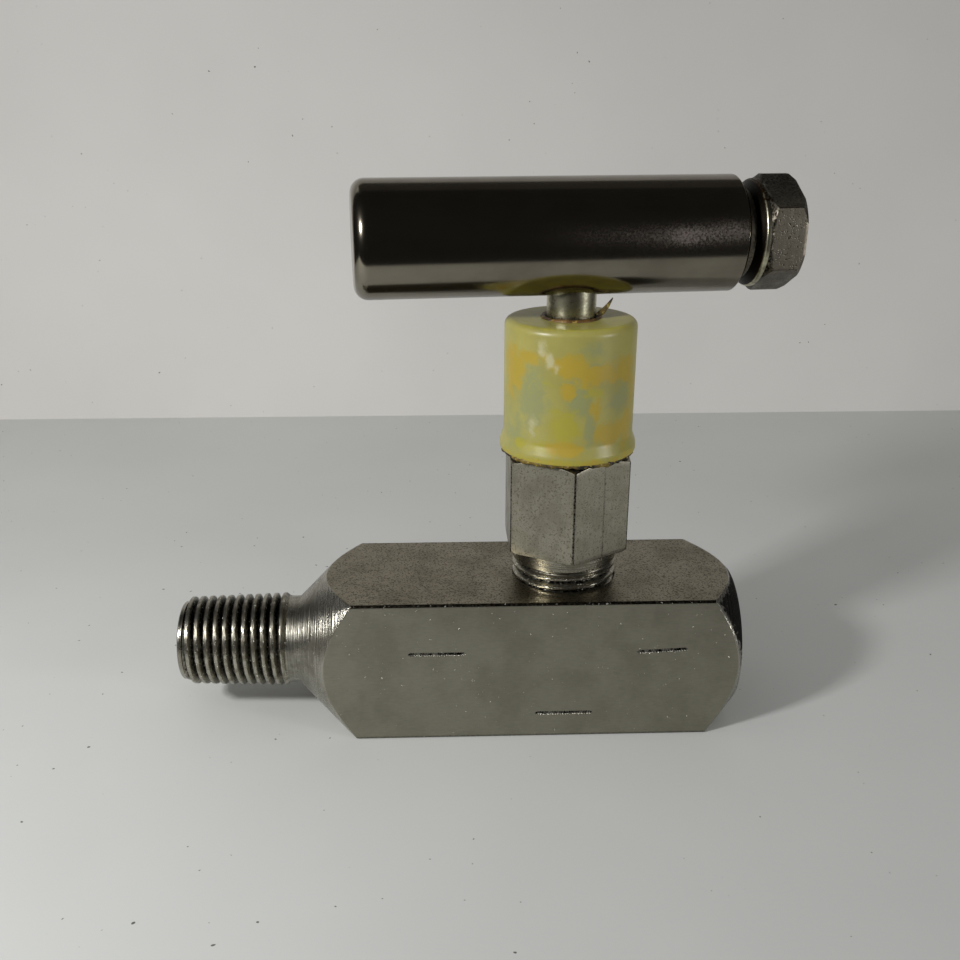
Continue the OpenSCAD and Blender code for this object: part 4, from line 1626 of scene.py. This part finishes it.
@dataclass
class Stem:
    """The screw stem with its back-seat shoulder and the needle's socket.

    Socket, groove and shoulder are measured up from the stem's lower end.
    """

    radius: float = 3.97
    top_radius: float = 3.45
    shoulder_radius: float = 4.75
    shoulder_height: float = 4.45
    pitch: float = 1.0583
    depth: float = 0.52
    thread_start: float = 36.37
    thread_end: float = 55.42
    socket_radius: float = 1.65
    socket_depth: float = 5.15
    groove_radius: float = 2.05
    groove: tuple[float, float] = (2.4, 3.1)
    grease_reach: float = 0.7
    thread_steps: int = 14
    columns: int = 128

    def make(self) -> None:
        """Builds the stem from the socket's end, down it, and up the outside."""
        low, high = box_mm("stem")
        bottom, top = low[2], high[2]
        sheet = Sheet.even(self.columns)
        socket, groove, shoulder, chamfer = self.socket_radius, self.groove_radius, self.shoulder_radius, 0.4
        socket_top, shoulder_top = bottom + self.socket_depth, bottom + self.shoulder_height
        groove_low, groove_high = bottom + self.groove[0], bottom + self.groove[1]
        sheet.turned(
            [
                (0.3, socket_top), (socket, socket_top), (socket, groove_high), (groove, groove_high),
                (groove, groove_low), (socket, groove_low), (socket, bottom), (shoulder - chamfer, bottom),
                (shoulder, bottom + chamfer), (shoulder, shoulder_top),
                (self.radius, shoulder_top + shoulder - self.radius), (self.radius, self.thread_start - 0.1),
            ],
            Finish.STEM, 0.04,
        )
        thread = Screw(
            self.thread_start, self.thread_end, self.pitch, self.depth,
            runout=(0.5, 0.3), crest=0.14, root=0.12,
        )
        for height in thread.heights(self.thread_steps):
            sheet.row(self.radius - thread.cut_at(height, sheet.theta), height, Finish.STEM)
        sheet.row(self.radius, self.thread_end + 0.05, Finish.STEM)
        # A ring of grease has dried where the stem leaves the cap
        cap_top = box_mm("dust_cap")[1][2]
        for height in np.linspace(self.thread_end + 0.6, top - 0.4, 40):
            dirt_and_shade = 0.9 * float(np.clip(1.5 - abs(height - cap_top) / self.grease_reach, 0, 1))
            sheet.row(self.top_radius, height, Finish.STEM, dirt_and_shade)
        sheet.turned([(self.top_radius - 0.4, top), (0.3, top)], Finish.STEM)
        piece = build_sheet("screw_stem", sheet, UPRIGHT, [Finish.STEM])
        finish_piece(piece, "handle", "stem_steel", "stem")


@dataclass
class Handle:
    """The round bar and the hexagon bolt that clamps the stem in it.

    Lengths are counted along the bar from the stem's axis. Each row of worn is one
    hazy place: its middle in degrees round the bar and in millimetres along it, its
    reach both ways, and its strength.
    """

    radius: float = 7.88
    left_length: float = 29.95
    right_length: float = 22.25
    round_end: float = 1.9
    chamfer: float = 0.4
    yaw: float = math.radians(6.3)
    bolt_radius: float = 3.97
    bolt_pitch: float = 1.0583
    bolt_depth: float = 0.52
    bolt_tip: float = 3.5
    boss_radius: float = 6.1
    boss_length: float = 1.35
    head_width: float = 14.2
    head_length: float = 6.6
    head_face_radius: float = 7.4
    head_chamfer: float = 0.5
    head_fillet: float = 0.2
    rim_radius: float = 7.3
    rim_length: float = 0.7
    rim_round: float = 0.3
    under_slope: float = 0.8
    head_turn: float = math.radians(0.8)
    stem_radius: float = 3.45
    hole_gap: float = 0.02
    hole_columns: int = 96
    thread_steps: int = 12
    columns: int = 192
    worn: tuple[tuple[float, float, float, float, float], ...] = (
        (264, 14.5, 12, 9, 0.68), (265, 13.4, 8, 2.0, 0.55), (256, 20, 8, 3.5, 0.35), (263, 2, 12, 7, 0.3),
    )

    def __post_init__(self) -> None:
        """Puts the handle's axis at the height of the CAD bar."""
        low, high = box_mm("handle_bar")
        self.height = (low[2] + high[2]) / 2
        self.axis = Axis((0.0, 0.0, self.height), level=True, yaw=self.yaw)

    def haze(self, theta: np.ndarray, height: float) -> np.ndarray:
        """How worn the polish is: the sum of a bell curve for each hazy place.

        Args:
            theta: Angles round the bar.
            height: Place along the bar.

        Returns:
            The share of haze at each angle.
        """
        total = np.zeros(theta.size)
        for middle, place, wide, long, strength in self.worn:
            away = (np.degrees(theta) - middle) / wide
            total += strength * np.exp(-(away**2) - ((height - place) / long) ** 2)
        return np.clip(total, 0, 1)

    def bar(self) -> None:
        """Builds the bar with its bolt hole and stem hole."""
        sheet = Sheet.even(self.columns)
        left, right = -self.left_length, self.right_length
        for radius in (2.0, self.radius - self.round_end):
            sheet.row(radius, left, Finish.POLISHED)
        for angle in np.linspace(0, math.pi / 2, 11)[1:]:
            sheet.row(
                self.radius - self.round_end * (1 - math.sin(angle)),
                left + self.round_end * (1 - math.cos(angle)),
                Finish.POLISHED,
            )
        for height in np.linspace(left + self.round_end + 1, right - self.chamfer - 0.15, 60):
            sheet.row(self.radius, height, Finish.POLISHED, self.haze(sheet.theta, height))
        sheet.turned(
            [
                (self.radius, right - self.chamfer - 0.05), (self.radius, right - self.chamfer),
                (self.radius - self.chamfer, right), (2.0, right),
            ],
            Finish.POLISHED, 0.12,
        )
        palette = [Finish.POLISHED, Finish.BORE]
        piece = build_sheet("round_handle_bar", sheet, self.axis, palette)
        upright = Axis((0.0, 0.0, self.height))
        for name, axis, radius, low, high in (
            ("bolt_hole", self.axis, self.bolt_radius, 0.5, right + 1),
            ("stem_hole", upright, self.stem_radius, -self.radius - 1, 3.05),
        ):
            hole = Sheet.even(self.hole_columns)
            hole.turned([(radius + self.hole_gap, low), (radius + self.hole_gap, high)], Finish.BORE)
            cut_away(piece, build_sheet(name, hole, axis, palette))
        finish_piece(piece, "handle", "handle_steel", "handle_bar")

    def bolt(self) -> None:
        """Builds the bolt: threaded shank, boss and milled head."""
        sheet = Sheet(corner_columns(self.columns, 6, self.head_turn, math.radians(4)))
        head_start = self.right_length + self.boss_length
        head_end = head_start + self.head_length
        root = self.bolt_radius - 0.9
        thread = Screw(
            self.bolt_tip + 0.5, self.right_length - 3.0, self.bolt_pitch, self.bolt_depth, (0.5, 1.0)
        )
        sheet.turned([(1.0, self.bolt_tip), (root, self.bolt_tip)], Finish.BOLT)
        for height in thread.heights(self.thread_steps):
            crest = min(self.bolt_radius, root + (height - self.bolt_tip))
            sheet.row(np.maximum(crest - thread.cut_at(height, sheet.theta), root), height, Finish.BOLT)
        # The shank's end and the boss are painted a little dark: painted shade between the bar and the head
        sheet.turned(
            [
                (self.bolt_radius, thread.end + 0.1), (self.bolt_radius, self.right_length),
                (self.boss_radius, self.right_length), (self.boss_radius, head_start - 0.1),
            ],
            Finish.BOLT, 0.06, grime_and_shade=0.35,
        )
        flat = polygon_radius(sheet.theta, 6, self.head_width, self.head_turn, self.head_fillet)
        # The top and the bottom corner end level with the bar
        flat = np.minimum(flat, self.radius / np.maximum(np.abs(np.cos(sheet.theta)), 0.1))
        rim = self.rim_radius
        meet = head_start + (rim - self.boss_radius) * self.under_slope
        # The underside of the head is painted black all over, above 1 so without gaps: painted shade behind
        # the bar's end
        for share in (0.0, 0.3, 0.6, 0.8):
            radius = self.boss_radius + (rim - self.boss_radius) * share
            sheet.row(radius, head_start + (meet - head_start) * share, Finish.BOLT, 2.5)
        # The rim's edge is worn round and bright. Its upper side is painted dark, a painted reflection of the
        # dark room, and the step behind it is painted dark as painted shade
        curve = self.rim_round
        darkening = np.clip(-3 * np.cos(sheet.theta) - 1.1, 0, 1.6)
        for angle in np.radians(np.linspace(25, 90, 7)):
            sheet.row(
                rim - curve * (1 - math.sin(angle)), meet + curve * (0.8 - math.cos(angle)), Finish.STEM, darkening
            )
        sheet.row(rim, meet + self.rim_length * 0.8, Finish.STEM, darkening)
        step = meet + self.rim_length + np.clip(flat - rim, 0, None) * 0.5
        sheet.row(rim - 0.05, meet + self.rim_length * 0.8 + 0.05, Finish.BOLT, 0.9)
        sheet.row((rim + flat) / 2, (step + meet + self.rim_length) / 2, Finish.BOLT, 0.9)
        sheet.row(flat, step + 0.15, Finish.BOLT, 0.7)
        # The flats that face up are painted black, a painted reflection of the dark room, and those that face
        # down are painted darker as painted shade
        down = np.cos(sheet.theta)
        painted_facing_dark = 0.8 * np.clip(-1.6 * down - 0.5, 0, 1) + 0.3 * np.clip(2 * down - 0.5, 0, 1)
        chamfer = np.clip(flat - self.head_face_radius, 0, None)
        end = head_end - chamfer * self.head_chamfer / (self.radius - self.head_face_radius)
        start = step + 0.4
        for share in np.linspace(0, 1, 16):
            sheet.row(flat, start + (end - 0.12 - start) * share, Finish.BOLT, painted_facing_dark)
        sheet.row(np.minimum(flat, self.head_face_radius) - 0.05, head_end, Finish.BOLT)
        sheet.row(2.0, head_end, Finish.BOLT)
        piece = build_sheet("handle_bolt_hexagon", sheet, self.axis, [Finish.BOLT, Finish.STEM])
        finish_piece(piece, "handle", "bolt_steel", "handle_bolt")


@dataclass
class HiddenPieces:
    """The small inner pieces, which keep their CAD shape and get their finishes."""

    finishes: dict[str, Finish] = field(
        default_factory=lambda: {
            "seat_ring": Finish.SEAT,
            "needle_tip": Finish.SEAT,
            "bonnet_gasket": Finish.COPPER,
            "tip_retaining_ring": Finish.STEM,
            "lower_backup_ring": Finish.FLUOROPOLYMER,
            "upper_backup_ring": Finish.FLUOROPOLYMER,
            "stem_o_ring": Finish.RUBBER,
        }
    )

    def dress(self) -> None:
        """Gives each CAD node its material."""
        for name, finish in self.finishes.items():
            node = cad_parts[name]
            for slot in node.material_slots:
                slot.material = material_of(finish)
            LOG.info("%s: %s", name, finish.value.name)


# --------------------------------------------------------------------- studio


@dataclass
class Studio:
    """Pale table and wall, two lamps, a dark tent that only reflections see, and the camera.

    Each row of lamps holds what the lamp method is given: a name, the angles round
    and above the valve, the distance, the size and the power.
    """

    table: PaintedBoard = PaintedBoard("table board", "#b4b5b2", (-0.4, 1.15, 0.0), 1.02)
    wall: PaintedBoard = PaintedBoard("wall board", "#c4c2be", (-0.45, 0.0, -1.6), 1.115)
    room_colour: str = "#b4b4b0"
    room_light: float = 0.455
    wall_y: float = 154.0
    wall_height: float = 228.0
    reach: float = 900.0
    tent_height: float = 400.0
    tent_front: tuple[float, float] = (-85.0, -160.0)
    tent_sides: tuple[float, float] = (-230.0, 220.0)
    tent_back: float = 105.0
    tent_black: str = "#2b2a29"
    tent_grey: str = "#42403d"
    lamps: tuple[tuple[str, float, float, float, float, float], ...] = (
        ("left_lamp", -54, 32, 250, 28, 0.5), ("right_lamp", 58, 10, 360, 42, 0.32),
    )
    lamp_aim: float = 20.0
    camera_at: tuple[float, float, float] = (-17.35, -141.24, 90.16)
    camera_down: float = math.radians(20.61)
    camera_yaw: float = math.radians(1.88)
    lens: float = 38.39
    sensor: float = 36.0

    def sheet(
        self, name: str, corners: list[tuple[float, float, float]], material: bpy.types.Material
    ) -> bpy.types.Object:
        """Makes a flat stage sheet.

        Args:
            name: Its name.
            corners: Four corners.
            material: Its material.

        Returns:
            The sheet.
        """
        mesh = bpy.data.meshes.new(name)
        mesh.from_pydata((np.array(corners, float) * MM).tolist(), [], [(0, 1, 2, 3)])
        mesh.materials.append(material)
        made = bpy.data.objects.new(name, mesh)
        bpy.context.scene.collection.objects.link(made)
        return made

    def tent(self) -> None:
        """Hangs dark cards round and over the valve, which only reflections see."""
        left, right = self.tent_sides
        low, high = self.tent_front
        back, top, wall = self.tent_back, self.tent_height, self.wall_y
        ceiling = wall + (top - self.wall_height)
        cards = {
            "front_card": [(left, low, 0), (right, low, 0), (right, high, top), (left, high, top)],
            "top_card": [(left, high, top), (right, high, top), (right, back, top), (left, back, top)],
            "left_card": [(left, low, 0), (left, high, top), (left, wall, top), (left, wall, 0)],
            "right_card": [(right, low, 0), (right, high, top), (right, wall, top), (right, wall, 0)],
            "ceiling_card": [
                (left, back, top), (right, back, top), (right, ceiling, top), (left, ceiling, top),
            ],
        }
        for name, corners in cards.items():
            material, tree = blank_material(name + " paint")
            colour = self.tent_grey if name == "ceiling_card" else self.tent_black
            glow = add(tree, "Emission", {"Color": linear(colour), "Strength": 1.0})
            add(tree, "OutputMaterial", {"Surface": glow})
            made = self.sheet(name, corners, material)
            made.visible_camera = made.visible_diffuse = made.visible_shadow = False
            made.visible_transmission = made.visible_volume_scatter = False

    def lamp(
        self, name: str, azimuth: float, elevation: float, distance: float, size: float, power: float
    ) -> None:
        """Hangs a square lamp that faces the valve.

        Args:
            name: Its name.
            azimuth: Degrees from the front, to the right.
            elevation: Degrees above the table.
            distance: Distance from the valve.
            size: Side of the lamp.
            power: Watts.
        """
        around, above = math.radians(azimuth), math.radians(elevation)
        level = math.cos(above)
        away = np.array([math.sin(around) * level, -math.cos(around) * level, math.sin(above)])
        data = bpy.data.lights.new(name, "AREA")
        data.shape, data.size, data.energy = "SQUARE", size * MM, power
        made = bpy.data.objects.new(name, data)
        made.location = (np.array([0.0, 0.0, self.lamp_aim]) + away * distance) * MM
        made.rotation_euler = (math.pi / 2 - above, 0.0, around)
        made.visible_camera = False
        bpy.context.scene.collection.objects.link(made)

    def room(self) -> bpy.types.World:
        """The world: an even light, and a pale room where a camera or a reflection looks.

        Returns:
            The world.
        """
        world = bpy.data.worlds.new("room")
        world.use_nodes = True
        tree = world.node_tree
        tree.nodes.clear()
        seen = add(tree, "LightPath", {}, "Is Camera Ray")
        rays = seen.node.outputs
        for kind in ("Is Glossy Ray", "Is Transmission Ray"):
            seen = add(tree, "Math", (seen, rays[kind]), operation="MAXIMUM")
        light = add(tree, "Background", {"Color": linear("#ffffff"), "Strength": self.room_light})
        pale = add(tree, "Background", {"Color": linear(self.room_colour)})
        both = add(tree, "MixShader", (seen, light, pale))
        add(tree, "OutputWorld", {"Surface": both})
        return world

    def build(self) -> None:
        """Sets the stage, the lamps, the world and the camera."""
        r, w, h = self.reach, self.wall_y, self.wall_height
        self.sheet("table", [(-r, -r, 0), (r, -r, 0), (r, w, 0), (-r, w, 0)], self.table.material())
        self.sheet("wall", [(-r, w, 0), (r, w, 0), (r, w, h), (-r, w, h)], self.wall.material())
        self.tent()
        for lamp in self.lamps:
            self.lamp(*lamp)
        scene = bpy.context.scene
        scene.world = self.room()
        camera = bpy.data.cameras.new("camera")
        camera.sensor_width, camera.lens = self.sensor, self.lens
        camera.clip_start, camera.clip_end = 0.005, 10.0
        eye = bpy.data.objects.new("camera", camera)
        eye.location = np.array(self.camera_at) * MM
        eye.rotation_euler = (math.pi / 2 - self.camera_down, 0.0, -self.camera_yaw)
        scene.collection.objects.link(eye)
        scene.camera = eye
        scene.view_settings.view_transform = "Standard"


def main() -> None:
    """Builds the stage and every piece in order."""
    logging.basicConfig(level=logging.INFO, format="%(name)s: %(message)s")
    Studio().build()
    ValveBody().make()
    Bonnet().make()
    DustCap().make()
    Seepage().make()
    Stem().make()
    handle = Handle()
    handle.bar()
    handle.bolt()
    HiddenPieces().dress()


if __name__ == "__main__":
    main()
